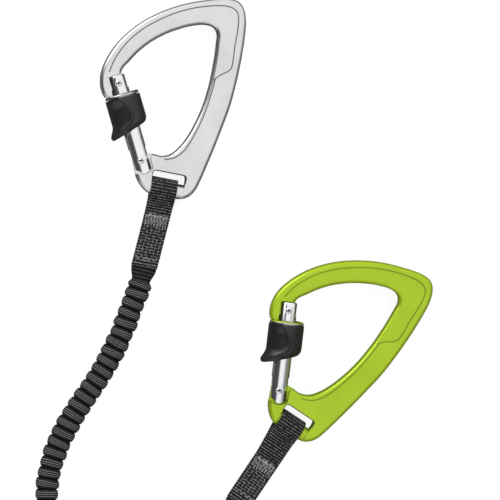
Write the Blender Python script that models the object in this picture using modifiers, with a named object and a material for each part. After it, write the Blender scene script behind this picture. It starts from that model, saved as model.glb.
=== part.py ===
"""Via ferrata lanyard: two locking carabiners on elastic arms, and an energy absorber.

The lanyard lies flat on a table with +Z up. Every carabiner is made in its own
frame: X across its webbing slot, Y up its long axis, Z through the plate, with the
origin on the axis of the slot's bar, about which the whole carabiner swings. Gate
pieces are made in a frame on the hinge rivet, with Y along the closed gate.
"""

import math

import bmesh
import bpy
import numpy as np
from mathutils import Vector

MM = 0.001

# Clearances shared by all pieces
SEAT_GAP = 0.3 * MM
SLIDE_GAP = 0.5 * MM
CUT_OVERRUN = 8.0 * MM
TURN_MERGE = 0.01 * MM
CURVE_MERGE = 0.001 * MM

# Carabiner plate
PLATE_WIDTH = 80.6 * MM
PLATE_LENGTH = 123.2 * MM
PLATE_THICKNESS = 10.4 * MM
PLATE_ROUND = 2.3 * MM
BAR_RADIUS = 4.5 * MM
SLOT_WIDTH = 19.8 * MM
SLOT_HEIGHT = 5.4 * MM
SLOT_CORNER = 1.6 * MM
BAR_GROOVE_DEPTH = 4.0 * MM

# Places on the plate, as shares of its width from the left and of its length from the foot
BAR_SHARES = (0.639, 0.0377)
HINGE_SHARES = (0.4132, 0.151)
LATCH_SHARES = (0.1427, 0.4959)
OUTER_SHARES = (
    (0.386, 0.092),
    (0.402, 0.068),
    (0.441, 0.036),
    (0.490, 0.0115),
    (0.546, 0.0015),
    (0.639, 0.0),
    (0.748, 0.004),
    (0.800, 0.0195),
    (0.841, 0.051),
    (0.871, 0.109),
    (0.898, 0.186),
    (0.929, 0.283),
    (0.959, 0.389),
    (0.983, 0.486),
    (0.995, 0.584),
    (1.0, 0.681),
    (0.999, 0.762),
    (0.993, 0.843),
    (0.979, 0.912),
    (0.949, 0.9635),
    (0.906, 0.992),
    (0.844, 1.0),
    (0.763, 0.991),
    (0.651, 0.969),
    (0.552, 0.9455),
    (0.440, 0.910),
    (0.3226, 0.861),
    (0.217, 0.803),
    (0.1265, 0.7345),
    (0.061, 0.665),
    (0.021, 0.600),
    (0.0025, 0.543),
    (0.005, 0.494),
    (0.026, 0.450),
)
INNER_SHARES = (
    (0.1464, 0.5503),
    (0.192, 0.612),
    (0.269, 0.685),
    (0.372, 0.751),
    (0.490, 0.803),
    (0.614, 0.841),
    (0.695, 0.854),
    (0.753, 0.849),
    (0.7866, 0.824),
    (0.7965, 0.778),
    (0.805, 0.6485),
    (0.798, 0.535),
    (0.779, 0.4456),
    (0.748, 0.3645),
    (0.712, 0.2995),
    (0.670, 0.2475),
    (0.620, 0.2102),
    (0.558, 0.193),
    (0.502, 0.1935),
)

# Heel tongue, inside the gate's lower slot
TONGUE_THICKNESS = 4.4 * MM
LUG_RADIUS = 4.9 * MM
CAM_RISE = 0.7 * MM
LUG_START = math.radians(70.0)
LUG_END = math.radians(214.0)
HEEL_RELIEF_RADIUS = 8.5 * MM
GATE_OPENING = math.radians(26.0)

# Nose, straddled by the gate's upper slot
NOSE_SIDE = 5.7 * MM
NOSE_REACH = 3.2 * MM
NOSE_LIP = 1.2 * MM
NOSE_FOOT_GAP = 0.4 * MM
NOSE_TOP_GAP = 0.5 * MM
NOSE_HOOK_GAP = 0.7 * MM
NOSE_MARGIN = 6.0 * MM
LOCK_DEPTH = 0.5 * MM
LOCK_SLOPE = 3.0
LOCK_CLEARANCE = 0.5 * MM
NOTCH_GAP = 0.4 * MM

# Gate
GATE_RADIUS = 5.3 * MM
GATE_TIP = 5.0 * MM
GATE_TIP_CHAMFER = 0.5 * MM
GATE_SLOT = 5.0 * MM
GATE_LOWER_SLOT_TOP = 7.6 * MM
GATE_UPPER_SLOT_DROP = 3.4 * MM
GATE_FOOT = 7.9 * MM
GATE_FOOT_LEFT = 4.0 * MM
GATE_FOOT_RIGHT = 6.1 * MM
GATE_FOOT_PEAK = 0.6 * MM
GATE_BORE_RADIUS = 2.4 * MM
GATE_BORE_TOP = 30.0 * MM
PIN_RADIUS = 1.1 * MM
PIN_HEAD_RADIUS = 1.8 * MM
PIN_HEAD_HEIGHT = 0.6 * MM
PIN_SHOULDER_SHARE = 0.7
PLUNGER_RADIUS = 2.05 * MM
PLUNGER_LENGTH = 4.6 * MM
PLUNGER_NOSE = 1.0 * MM
PLUNGER_TIP_SHARE = 0.6
GATE_SPRING_RADIUS = 1.65 * MM
GATE_SPRING_WIRE = 0.3 * MM
GATE_SPRING_TURNS = 6

# Sleeve and its ring, whose top is a drop below the latch pin
RING_DROP = 6.36 * MM
RING_RADIUS = 10.2 * MM
RING_HEIGHT = 1.9 * MM
RING_BORE_RADIUS = 8.4 * MM
RING_BORE_DEPTH = 1.5 * MM
RING_SKIRT_RADIUS = 8.6 * MM
RING_SKIRT_DEPTH = 2.5 * MM
SLEEVE_RADIUS = 10.6 * MM
SLEEVE_LENGTH = 22.4 * MM
SLEEVE_SLANT = 0.29
SLEEVE_FLARE = 2.8 * MM
FLARE_START_SHARE = 0.72
SLEEVE_SCOOP = 1.9 * MM
SCOOP_STARTS = (math.radians(88.0), math.radians(118.0))
SCOOP_ENDS = (math.radians(150.0), math.radians(178.0))
SCOOP_TOP_SHARES = (0.04, 0.45)
SCOOP_FOOT_SHARES = (0.75, 0.97)
SLEEVE_ROUND = 1.0 * MM
CORNER_START_SHARE = 0.9
SLEEVE_LIP = 0.4 * MM
LIP_END_SHARE = 0.05
SLEEVE_CHAMBER_RADIUS = 7.4 * MM
SLEEVE_TRAVEL = 8.0 * MM
CLIP_HEIGHT = 1.2 * MM
CLIP_RADIUS = 7.0 * MM
CLIP_GROOVE_DEPTH = 0.6 * MM
CLIP_MOUTH = 6.0 * MM
SLEEVE_SPRING_RADIUS = 6.45 * MM
SLEEVE_SPRING_WIRE = 0.3 * MM
SLEEVE_SPRING_TURNS = 4
SLEEVE_SPRING_CLOSED = 4.0 * MM
SPRING_POINTS_PER_TURN = 8

# Sewn straps
STRAP_STEPS = 16
TAIL_STEPS = 5
STRAP_STITCH_GAP = 0.2 * MM

# Sewn webbing of each arm's eye
WEBBING_WIDTH = 15.6 * MM
WEBBING_THICKNESS = 1.6 * MM
EYE_RADIUS = 4.95 * MM
EYE_ANGLE = math.radians(60.0)
EYE_LEVEL_SHARE = 0.8
THREAD_RADIUS = 0.35 * MM
TACK_WIDTH = 12.6 * MM
TACK_STITCHES = 9

# Elastic arms
ARM_WIDTH = 13.0 * MM
ARM_THICKNESS = 9.0 * MM
ARM_SMOOTH_END = 9.0 * MM
RIB_PITCH = 6.3 * MM
RIB_WAIST = 0.84
PLAIN_END = 0.96

# Energy absorber
POUCH_PLACE = (-4.0 * MM, -362.0 * MM)
POUCH_WALL = 1.4 * MM
POUCH_ROUND = 5.0 * MM
POUCH_MOUTH_WIDTH = 36.0 * MM
POUCH_MOUTH_HEIGHT = 8.0 * MM
POUCH_TAIL_MOUTH_WIDTH = 6.0 * MM
PACK_INSET = 28.0 * MM
PACK_LENGTH = 90.0 * MM
PACK_TAIL_ROOM = 17.0 * MM
PACK_SIDE_ROOM = 10.0 * MM
PACK_TOP_ROOM = 4.95 * MM
PACK_WIDTH = 42.0 * MM
PACK_LAYERS = 8
PACK_LAYER = 2.6 * MM
PACK_LAYER_GAP = 0.45 * MM
LOOP_RADIUS = 17.0 * MM
LOOP_THICKNESS = 2.2 * MM
LOOP_ANGLE = math.radians(72.0)
LOOP_WIDTH = 26.0 * MM
LOOP_LIFT = 1.9 * MM
KEEPER_LENGTH = 9.0 * MM
KEEPER_WALL = 1.2 * MM
KEEPER_SEAT = 4.62 * MM

# Hanks of the folded arms: three runs, drawn in by a tie, with a round loop at each end
TIE_THICKNESS = 1.2 * MM
TIE_WIDTH = 16.0 * MM
TIE_CORNER = 3.0 * MM
RUN_SPACING = 17.0 * MM
FOLD_RADIUS = 22.0 * MM
FOLD_STEPS = 11

# How each carabiner lies: the bar's place on the table, the tilt of its long axis, the
# lean of its webbing off that axis, how far the webbing sits off centre, its length
# and where its two rows of zigzag stitches are
SILVER_LIES = {
    "place": (-49.8 * MM, 36.0 * MM),
    "tilt": math.radians(10.9),
    "lean": math.radians(3.5),
    "shift": -1.8 * MM,
    "sewn": 48.0 * MM,
    "upper_tack": (16.0 * MM, 23.6 * MM),
    "lower_tack": (40.6 * MM, 43.4 * MM),
}
LIME_LIES = {
    "place": (24.5 * MM, -104.8 * MM),
    "tilt": math.radians(33.7),
    "lean": 0.0,
    "shift": -0.9 * MM,
    "sewn": 56.0 * MM,
    "upper_tack": (25.8 * MM, 32.6 * MM),
    "lower_tack": (47.4 * MM, 50.2 * MM),
}

# Routes of the elastic arms' centre lines, chosen by hand, in metres. Each comes to its
# hank, which lies at a centre and goes by towards one side, and then to the absorber.
FLAT = 0.0046
ON_TIE = 0.0060
SILVER_TO_HANK = (
    (-0.0708, -0.0345, FLAT),
    (-0.0762, -0.0488, FLAT),
    (-0.0830, -0.0631, FLAT),
    (-0.0913, -0.0774, FLAT),
    (-0.1009, -0.0916, FLAT),
    (-0.1095, -0.1059, FLAT),
    (-0.1160, -0.1202, FLAT),
    (-0.1202, -0.1357, FLAT),
    (-0.1212, -0.1480, FLAT),
    (-0.1212, -0.1600, FLAT),
    (-0.1212, -0.1720, FLAT),
    (-0.1181, -0.1831, FLAT),
    (-0.1096, -0.1910, FLAT),
    (-0.1011, -0.1992, FLAT),
    (-0.0980, -0.2103, FLAT),
    (-0.0958, -0.2223, FLAT),
    (-0.0910, -0.2320, FLAT),
)
SILVER_HANK = ((-0.0700, -0.2500), 1)
SILVER_FROM_HANK = (
    (-0.0492, -0.2680, FLAT),
    (-0.0433, -0.2785, FLAT),
    (-0.0405, -0.2900, FLAT),
    (-0.0368, -0.3047, FLAT),
    (-0.0266, -0.3159, FLAT),
    (-0.0162, -0.3273, FLAT),
    (-0.0125, -0.3420, FLAT),
    (-0.0125, -0.3547, FLAT),
)
SILVER_BREAK = 0.168
LIME_TO_HANK = (
    (-0.0185, -0.1716, FLAT),
    (-0.0180, -0.1828, FLAT),
    (-0.0128, -0.1928, FLAT),
    (-0.0039, -0.1997, FLAT),
    (0.0071, -0.2021, FLAT),
    (0.0300, -0.2020, FLAT),
    (0.0540, -0.2020, FLAT),
    (0.0780, -0.2020, FLAT),
    (0.0990, -0.2020, FLAT),
    (0.1160, -0.2090, FLAT),
    (0.1230, -0.2260, FLAT),
    (0.1160, -0.2430, FLAT),
    (0.0990, -0.2500, FLAT),
    (0.0880, -0.2497, FLAT),
    (0.0780, -0.2497, FLAT),
    (0.0680, -0.2525, FLAT),
    (0.0600, -0.2605, FLAT),
)
LIME_HANK = ((0.0400, -0.2790), -1)
LIME_FROM_HANK = (
    (0.0185, -0.2980, FLAT),
    (0.0122, -0.3105, FLAT),
    (0.0080, -0.3240, FLAT),
    (0.0052, -0.3370, FLAT),
    (0.0045, -0.3547, FLAT),
)
LIME_BREAK = 0.100


def plate_point(shares):
    """A point in the carabiner's frame from its shares of the plate's width and length."""
    across, along = shares
    return Vector(
        (
            (across - BAR_SHARES[0]) * PLATE_WIDTH,
            (along - BAR_SHARES[1]) * PLATE_LENGTH,
        )
    )


HINGE = plate_point(HINGE_SHARES)
LATCH = plate_point(LATCH_SHARES)
SEWN_THICKNESS = 2 * WEBBING_THICKNESS + STRAP_STITCH_GAP
PACK_HEIGHT = PACK_LAYERS * (PACK_LAYER + PACK_LAYER_GAP) - PACK_LAYER_GAP
POUCH_LENGTH = PACK_INSET + PACK_LENGTH + PACK_TAIL_ROOM
POUCH_WIDTH = PACK_WIDTH + 2 * PACK_SIDE_ROOM
POUCH_HEIGHT = PACK_HEIGHT + 2 * POUCH_WALL + SEAT_GAP + PACK_TOP_ROOM
GATE_LENGTH = (LATCH - HINGE).length
GATE_LEAN = math.atan2(HINGE.x - LATCH.x, LATCH.y - HINGE.y)
RING_TOP = GATE_LENGTH - RING_DROP
SLEEVE_FOOT = RING_TOP - SLEEVE_LENGTH
SLOT_CENTRE = BAR_RADIUS + SLOT_HEIGHT / 2
RING_SKIRT_FOOT = RING_TOP - RING_HEIGHT - RING_SKIRT_DEPTH
SLEEVE_TOP = RING_TOP - RING_HEIGHT - SEAT_GAP
CLIP_FOOT = RING_SKIRT_FOOT - SLEEVE_TRAVEL - SLEEVE_SPRING_CLOSED - CLIP_HEIGHT

# The plate leans on the sleeve at its left and on the spine's edge at its right
SLEEVE_SIDE = HINGE.x - SLEEVE_FOOT * math.sin(GATE_LEAN)
SPINE_SIDE = (1.0 - BAR_SHARES[0]) * PLATE_WIDTH - PLATE_ROUND
ROLL = math.atan2(SLEEVE_RADIUS - PLATE_THICKNESS / 2, SPINE_SIDE - SLEEVE_SIDE)
BAR_HEIGHT = SLEEVE_RADIUS * math.cos(ROLL) + SLEEVE_SIDE * math.sin(ROLL)


def clear_scene():
    for obj in list(bpy.data.objects):
        bpy.data.objects.remove(obj, do_unlink=True)


def new_collection(name):
    collection = bpy.data.collections.new(name)
    bpy.context.scene.collection.children.link(collection)
    return collection


def new_material(name, colour, roughness, metallic):
    material = bpy.data.materials.new(name)
    material.use_nodes = True
    shader = material.node_tree.nodes["Principled BSDF"]
    shader.inputs["Base Color"].default_value = (*colour, 1.0)
    shader.inputs["Roughness"].default_value = roughness
    shader.inputs["Metallic"].default_value = metallic
    return material


clear_scene()
PARTS = new_collection("via_ferrata_lanyard")
CUTTERS = new_collection("cutters")
LAYOUT = new_collection("layout")

SILVER_PAINT = new_material("silver_anodised", (0.62, 0.62, 0.63), 0.45, 0.9)
LIME_PAINT = new_material("lime_anodised", (0.40, 0.56, 0.03), 0.42, 0.7)
POLISHED = new_material("polished_aluminium", (0.80, 0.80, 0.81), 0.15, 1.0)
STEEL = new_material("spring_steel", (0.55, 0.55, 0.56), 0.30, 1.0)
BLACK_PLASTIC = new_material("black_plastic", (0.02, 0.02, 0.02), 0.42, 0.0)
WEBBING = new_material("black_webbing", (0.03, 0.03, 0.03), 0.85, 0.0)
THREAD = new_material("grey_thread", (0.16, 0.16, 0.16), 0.75, 0.0)
POUCH_CLOTH = new_material("pouch_cloth", (0.035, 0.035, 0.04), 0.9, 0.0)
RUBBER = new_material("black_rubber", (0.02, 0.02, 0.02), 0.7, 0.0)


def new_empty(name, parent, location=(0, 0, 0), rotation=(0, 0, 0)):
    empty = bpy.data.objects.new(name, None)
    LAYOUT.objects.link(empty)
    empty.parent = parent
    empty.location = location
    empty.rotation_euler = rotation
    return empty


def new_part(name, data, material, parent, location=(0, 0, 0), rotation=(0, 0, 0)):
    part = bpy.data.objects.new(name, data)
    PARTS.objects.link(part)
    data.materials.append(material)
    part.parent = parent
    part.location = location
    part.rotation_euler = rotation
    return part


def new_cutter(name, data, parent, location=(0, 0, 0), rotation=(0, 0, 0)):
    cutter = bpy.data.objects.new(name, data)
    CUTTERS.objects.link(cutter)
    cutter.parent = parent
    cutter.location = location
    cutter.rotation_euler = rotation
    cutter.hide_render = True
    cutter.display_type = "WIRE"
    return cutter


def cut(part, cutter):
    modifier = part.modifiers.new("cut_" + cutter.name, "BOOLEAN")
    modifier.operation = "DIFFERENCE"
    modifier.object = cutter


def mesh_from(bm, name):
    mesh = bpy.data.meshes.new(name)
    bm.to_mesh(mesh)
    bm.free()
    return mesh


def prism_mesh(name, outline, low, high):
    """An outline in X and Y, drawn counter-clockwise, extruded from low to high in Z."""
    bm = bmesh.new()
    face = bm.faces.new([bm.verts.new((x, y, low)) for x, y in outline])
    extruded = bmesh.ops.extrude_face_region(bm, geom=[face])
    lifted = [item for item in extruded["geom"] if isinstance(item, bmesh.types.BMVert)]
    bmesh.ops.translate(bm, verts=lifted, vec=(0, 0, high - low))
    bmesh.ops.recalc_face_normals(bm, faces=bm.faces)
    return mesh_from(bm, name)


def turned_mesh(name, profile, closed=False):
    """A profile of radius and height, read down its outer side, for a Screw modifier."""
    bm = bmesh.new()
    verts = [bm.verts.new((radius, 0, height)) for radius, height in profile]
    for start, end in zip(verts, verts[1:]):
        bm.edges.new((start, end))
    if closed:
        bm.edges.new((verts[-1], verts[0]))
    return mesh_from(bm, name)


def turn(obj, steps):
    screw = obj.modifiers.new("turned", "SCREW")
    screw.steps = steps
    screw.render_steps = steps
    screw.use_merge_vertices = True
    screw.merge_threshold = TURN_MERGE
    screw.use_smooth_shade = False


def box_mesh(name, low, high):
    bm = bmesh.new()
    bmesh.ops.create_cube(bm, size=1.0)
    size = Vector(high) - Vector(low)
    middle = (Vector(high) + Vector(low)) / 2
    bmesh.ops.scale(bm, verts=bm.verts, vec=size)
    bmesh.ops.translate(bm, verts=bm.verts, vec=middle)
    return mesh_from(bm, name)


def mesh_of_curve(curve):
    """The welded mesh of a curve's data, made through a short-lived object."""
    carrier = bpy.data.objects.new(curve.name, curve)
    LAYOUT.objects.link(carrier)
    evaluated = carrier.evaluated_get(bpy.context.evaluated_depsgraph_get())
    mesh = bpy.data.meshes.new_from_object(evaluated)
    bpy.data.objects.remove(carrier, do_unlink=True)
    bm = bmesh.new()
    bm.from_mesh(mesh)
    bmesh.ops.remove_doubles(bm, verts=bm.verts, dist=CURVE_MERGE)
    bmesh.ops.recalc_face_normals(bm, faces=bm.faces)
    bm.to_mesh(mesh)
    bm.free()
    return mesh


def flat_curve(name, half_thickness):
    curve = bpy.data.curves.new(name, "CURVE")
    curve.dimensions = "2D"
    curve.fill_mode = "BOTH"
    curve.extrude = half_thickness
    return curve


def add_poly(curve, points, cyclic=False):
    spline = curve.splines.new("POLY")
    spline.points.add(len(points) - 1)
    for point, place in zip(spline.points, points):
        point.co = (*place, 1.0)
    spline.use_cyclic_u = cyclic
    return spline


def gate_to_plate(across, along):
    """A point of the gate's frame, in the carabiner's frame."""
    return Vector(
        (
            HINGE.x + across * math.cos(GATE_LEAN) - along * math.sin(GATE_LEAN),
            HINGE.y + across * math.sin(GATE_LEAN) + along * math.cos(GATE_LEAN),
        )
    )


def nose_outline():
    """The plate's end below the latch, from its outer side round to its inner side."""
    foot = RING_TOP - NOSE_LIP * 2
    return [
        gate_to_plate(-RING_RADIUS - SEAT_GAP / 2, RING_TOP + 2 * NOSE_FOOT_GAP),
        gate_to_plate(-RING_RADIUS + NOSE_LIP, foot + NOSE_LIP),
        gate_to_plate(-RING_RADIUS + NOSE_REACH, foot),
        gate_to_plate(-NOSE_REACH, foot),
        gate_to_plate(NOSE_REACH / 2, foot + NOSE_LIP),
        gate_to_plate(NOSE_REACH, foot + 2 * NOSE_REACH),
        gate_to_plate(NOSE_REACH, GATE_LENGTH),
    ]


def heel_outline():
    """The lug round the hinge: a cam that rises where the plunger rides on it as the
    gate opens."""
    closed = math.pi / 2 + GATE_LEAN
    steps = 6
    points = []
    for step in range(steps + 1):
        direction = LUG_START + (LUG_END - LUG_START) * step / steps
        opened = min(max((closed - direction) / GATE_OPENING, 0.0), 1.0)
        radius = LUG_RADIUS + CAM_RISE * opened
        points.append(HINGE + radius * Vector((math.cos(direction), math.sin(direction))))
    return points


def plate_outline():
    outer = [plate_point(shares) for shares in OUTER_SHARES]
    inner = [plate_point(shares) for shares in INNER_SHARES]
    return outer + nose_outline() + inner + heel_outline()


def plate_mesh(name):
    curve = flat_curve(name, PLATE_THICKNESS / 2 - PLATE_ROUND)
    curve.bevel_depth = PLATE_ROUND
    curve.bevel_resolution = 1
    curve.offset = -PLATE_ROUND
    curve.resolution_u = 2
    outline = plate_outline()
    spline = curve.splines.new("BEZIER")
    spline.bezier_points.add(len(outline) - 1)
    for point, place in zip(spline.bezier_points, outline):
        point.co = (place.x, place.y, 0)
        point.handle_left_type = "AUTO"
        point.handle_right_type = "AUTO"
    spline.use_cyclic_u = True
    return mesh_of_curve(curve)


def rounded_rectangle(width, height, corner, centre, steps=3):
    points = []
    for quarter, (side, end) in enumerate(((1, 1), (-1, 1), (-1, -1), (1, -1))):
        for step in range(steps + 1):
            angle = math.pi / 2 * (quarter + step / steps)
            x = side * (width / 2 - corner) + corner * math.cos(angle)
            y = end * (height / 2 - corner) + corner * math.sin(angle)
            points.append((centre[0] + x, centre[1] + y))
    return points


def make_plate(name, paint, frame, gate_frame):
    plate = new_part(name + "_carabiner_body", plate_mesh(name + "_plate"), paint, frame)
    half = PLATE_THICKNESS / 2 + CUT_OVERRUN
    tongue = TONGUE_THICKNESS / 2

    slot = rounded_rectangle(
        SLOT_WIDTH, SLOT_HEIGHT - SEAT_GAP, SLOT_CORNER, (0, SLOT_CENTRE + SEAT_GAP / 2)
    )
    cut(plate, new_cutter(name + "_slot", prism_mesh("slot", slot, -half, half), frame))

    groove_half = (SLOT_WIDTH + SEAT_GAP) / 2
    groove = new_cutter(
        name + "_bar_groove",
        turned_mesh(
            "bar_groove",
            [
                (BAR_RADIUS + BAR_GROOVE_DEPTH, groove_half),
                (BAR_RADIUS + BAR_GROOVE_DEPTH, -groove_half),
                (BAR_RADIUS, -groove_half),
                (BAR_RADIUS, groove_half),
            ],
            closed=True,
        ),
        frame,
        rotation=(0, math.pi / 2, 0),
    )
    turn(groove, 24)
    cut(plate, groove)

    for side, low, high in (("front", tongue, half), ("back", -half, -tongue)):
        relief = bmesh.new()
        bmesh.ops.create_cone(
            relief,
            cap_ends=True,
            segments=32,
            radius1=HEEL_RELIEF_RADIUS,
            radius2=HEEL_RELIEF_RADIUS,
            depth=high - low,
        )
        cut(
            plate,
            new_cutter(
                f"{name}_heel_relief_{side}",
                mesh_from(relief, "heel_relief"),
                gate_frame,
                location=(0, 0, (low + high) / 2),
            ),
        )
        nose_foot = RING_TOP + NOSE_FOOT_GAP - SEAT_GAP / 2
        nose_top = GATE_LENGTH + GATE_TIP + NOSE_TOP_GAP
        outline = [
            (-RING_RADIUS - NOSE_MARGIN, RING_TOP - NOSE_MARGIN),
            (RING_RADIUS + NOSE_MARGIN, RING_TOP - NOSE_MARGIN),
            (RING_RADIUS + NOSE_MARGIN, nose_top),
            (-NOSE_SIDE, nose_top),
            (-NOSE_SIDE, nose_foot),
            (-RING_RADIUS - NOSE_MARGIN, nose_foot),
        ]
        cut(
            plate,
            new_cutter(
                f"{name}_nose_relief_{side}",
                prism_mesh("nose_relief", outline, low, high),
                gate_frame,
            ),
        )

    hook_foot = GATE_LENGTH - GATE_UPPER_SLOT_DROP + NOSE_HOOK_GAP
    notch = PIN_RADIUS + NOTCH_GAP
    wedge_top = RING_BORE_RADIUS - LOCK_CLEARANCE + LOCK_SLOPE * NOSE_FOOT_GAP
    wedge_tip = RING_BORE_RADIUS - LOCK_CLEARANCE - LOCK_SLOPE * LOCK_DEPTH
    outline = [
        (-RING_RADIUS - NOSE_MARGIN, RING_TOP - NOSE_MARGIN),
        (RING_RADIUS + NOSE_MARGIN, RING_TOP - NOSE_MARGIN),
        (RING_RADIUS + NOSE_MARGIN, GATE_LENGTH + notch),
        (0, GATE_LENGTH + notch),
        (-notch, GATE_LENGTH + notch / 2),
        (-notch, GATE_LENGTH - notch / 2),
        (0, GATE_LENGTH - notch),
        (NOSE_REACH - SEAT_GAP, GATE_LENGTH - notch),
        (NOSE_REACH - NOSE_LIP, hook_foot),
        (-NOSE_SIDE - SEAT_GAP, hook_foot),
        (-NOSE_SIDE - SEAT_GAP, RING_TOP - LOCK_DEPTH),
        (-wedge_tip, RING_TOP - LOCK_DEPTH),
        (-wedge_top, RING_TOP + NOSE_FOOT_GAP),
        (-RING_RADIUS - NOSE_MARGIN, RING_TOP + NOSE_FOOT_GAP),
    ]
    cut(
        plate,
        new_cutter(name + "_nose_end", prism_mesh("nose_end", outline, -half, half), gate_frame),
    )
    cut(plate, pin_hole(name + "_hinge_hole_in_heel", gate_frame, 0))


def pin_hole(name, parent, along):
    bm = bmesh.new()
    radius = PIN_RADIUS + SEAT_GAP
    bmesh.ops.create_cone(
        bm,
        cap_ends=True,
        segments=16,
        radius1=radius,
        radius2=radius,
        depth=2 * (GATE_RADIUS + CUT_OVERRUN),
    )
    return new_cutter(name, mesh_from(bm, "pin_hole"), parent, location=(0, along, 0))


def make_gate(name, gate_frame):
    groove_top = CLIP_FOOT + CLIP_HEIGHT + SEAT_GAP
    groove_foot = CLIP_FOOT - SEAT_GAP
    groove_radius = GATE_RADIUS - CLIP_GROOVE_DEPTH
    tip = GATE_LENGTH + GATE_TIP
    gate = new_part(
        name + "_gate",
        turned_mesh(
            "gate",
            [
                (0, tip),
                (GATE_RADIUS - GATE_TIP_CHAMFER, tip),
                (GATE_RADIUS, tip - GATE_TIP_CHAMFER),
                (GATE_RADIUS, groove_top),
                (groove_radius, groove_top),
                (groove_radius, groove_foot),
                (GATE_RADIUS, groove_foot),
                (GATE_RADIUS, -GATE_FOOT),
                (GATE_BORE_RADIUS, -GATE_FOOT),
                (GATE_BORE_RADIUS, GATE_BORE_TOP),
                (0, GATE_BORE_TOP),
            ],
        ),
        POLISHED,
        gate_frame,
        rotation=(-math.pi / 2, 0, 0),
    )
    turn(gate, 20)
    wide = GATE_RADIUS + CUT_OVERRUN
    half_slot = GATE_SLOT / 2
    lower = box_mesh(
        "lower_slot",
        (-wide, -GATE_FOOT - CUT_OVERRUN, -half_slot),
        (wide, GATE_LOWER_SLOT_TOP, half_slot),
    )
    upper = box_mesh(
        "upper_slot",
        (-wide, GATE_LENGTH - GATE_UPPER_SLOT_DROP, -half_slot),
        (wide, tip + CUT_OVERRUN, half_slot),
    )
    foot = [
        (-wide, -GATE_FOOT - CUT_OVERRUN),
        (wide, -GATE_FOOT - CUT_OVERRUN),
        (wide, -GATE_FOOT_RIGHT),
        (GATE_RADIUS, -GATE_FOOT_RIGHT),
        (GATE_FOOT_PEAK, -GATE_FOOT + SEAT_GAP),
        (-GATE_FOOT_PEAK, -GATE_FOOT + SEAT_GAP),
        (-GATE_RADIUS, -GATE_FOOT_LEFT),
        (-wide, -GATE_FOOT_LEFT),
    ]
    cut(gate, new_cutter(name + "_gate_lower_slot", lower, gate_frame))
    cut(gate, new_cutter(name + "_gate_upper_slot", upper, gate_frame))
    cut(gate, new_cutter(name + "_gate_foot", prism_mesh("gate_foot", foot, -wide, wide), gate_frame))
    cut(gate, pin_hole(name + "_hinge_hole_in_gate", gate_frame, 0))
    cut(gate, pin_hole(name + "_latch_hole_in_gate", gate_frame, GATE_LENGTH))


def make_pin(name, gate_frame, along):
    seat = GATE_RADIUS + SEAT_GAP
    shoulder = seat + PIN_HEAD_HEIGHT * PIN_SHOULDER_SHARE
    crown = seat + PIN_HEAD_HEIGHT
    pin = new_part(
        name,
        turned_mesh(
            "pin",
            [
                (0, crown),
                (PIN_RADIUS, shoulder),
                (PIN_HEAD_RADIUS, seat),
                (PIN_RADIUS, seat),
                (PIN_RADIUS, -seat),
                (PIN_HEAD_RADIUS, -seat),
                (PIN_RADIUS, -shoulder),
                (0, -crown),
            ],
        ),
        POLISHED,
        gate_frame,
        location=(0, along, 0),
    )
    turn(pin, 12)


def helix(radius, low, high, turns, points_per_turn):
    """Points up a coil spring round Z."""
    count = turns * points_per_turn
    points = []
    for index in range(count + 1):
        angle = 2 * math.pi * index / points_per_turn
        height = low + (high - low) * index / count
        points.append((radius * math.cos(angle), radius * math.sin(angle), height))
    return points


def tube_mesh(name, points, radius, resolution):
    curve = bpy.data.curves.new(name, "CURVE")
    curve.dimensions = "3D"
    curve.bevel_depth = radius
    curve.bevel_resolution = resolution
    curve.use_fill_caps = True
    curve.twist_mode = "MINIMUM"
    add_poly(curve, points)
    return mesh_of_curve(curve)


def make_spring(name, gate_frame, radius, wire, low, high, turns):
    points = helix(radius, low + wire, high - wire, turns, SPRING_POINTS_PER_TURN)
    part = new_part(
        name,
        tube_mesh(name, points, wire, 0),
        STEEL,
        gate_frame,
        rotation=(-math.pi / 2, 0, 0),
    )
    pitch = (high - low - 2 * wire) / turns
    print(f"{part.name}: least gap between turns {(pitch - 2 * wire) / MM:.2f} mm")


def make_plunger(name, plunger_frame):
    tip = LUG_RADIUS + SEAT_GAP
    top = tip + PLUNGER_LENGTH
    plunger = new_part(
        name + "_gate_plunger",
        turned_mesh(
            "plunger",
            [
                (0, top),
                (PLUNGER_RADIUS, top),
                (PLUNGER_RADIUS, tip + PLUNGER_NOSE),
                (PLUNGER_RADIUS * PLUNGER_TIP_SHARE, tip),
                (0, tip),
            ],
        ),
        STEEL,
        plunger_frame,
        rotation=(-math.pi / 2, 0, 0),
    )
    turn(plunger, 14)
    return top


def make_ring(name, paint, sleeve_frame):
    foot = RING_TOP - RING_HEIGHT
    ring = new_part(
        name + "_locking_ring",
        turned_mesh(
            "locking_ring",
            [
                (RING_RADIUS, RING_TOP),
                (RING_RADIUS, foot),
                (RING_SKIRT_RADIUS, foot),
                (RING_SKIRT_RADIUS, RING_SKIRT_FOOT),
                (GATE_RADIUS + SLIDE_GAP, RING_SKIRT_FOOT),
                (GATE_RADIUS + SLIDE_GAP, RING_TOP - RING_BORE_DEPTH),
                (RING_BORE_RADIUS, RING_TOP - RING_BORE_DEPTH),
                (RING_BORE_RADIUS, RING_TOP),
            ],
            closed=True,
        ),
        paint,
        sleeve_frame,
        rotation=(-math.pi / 2, 0, 0),
    )
    turn(ring, 24)


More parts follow.
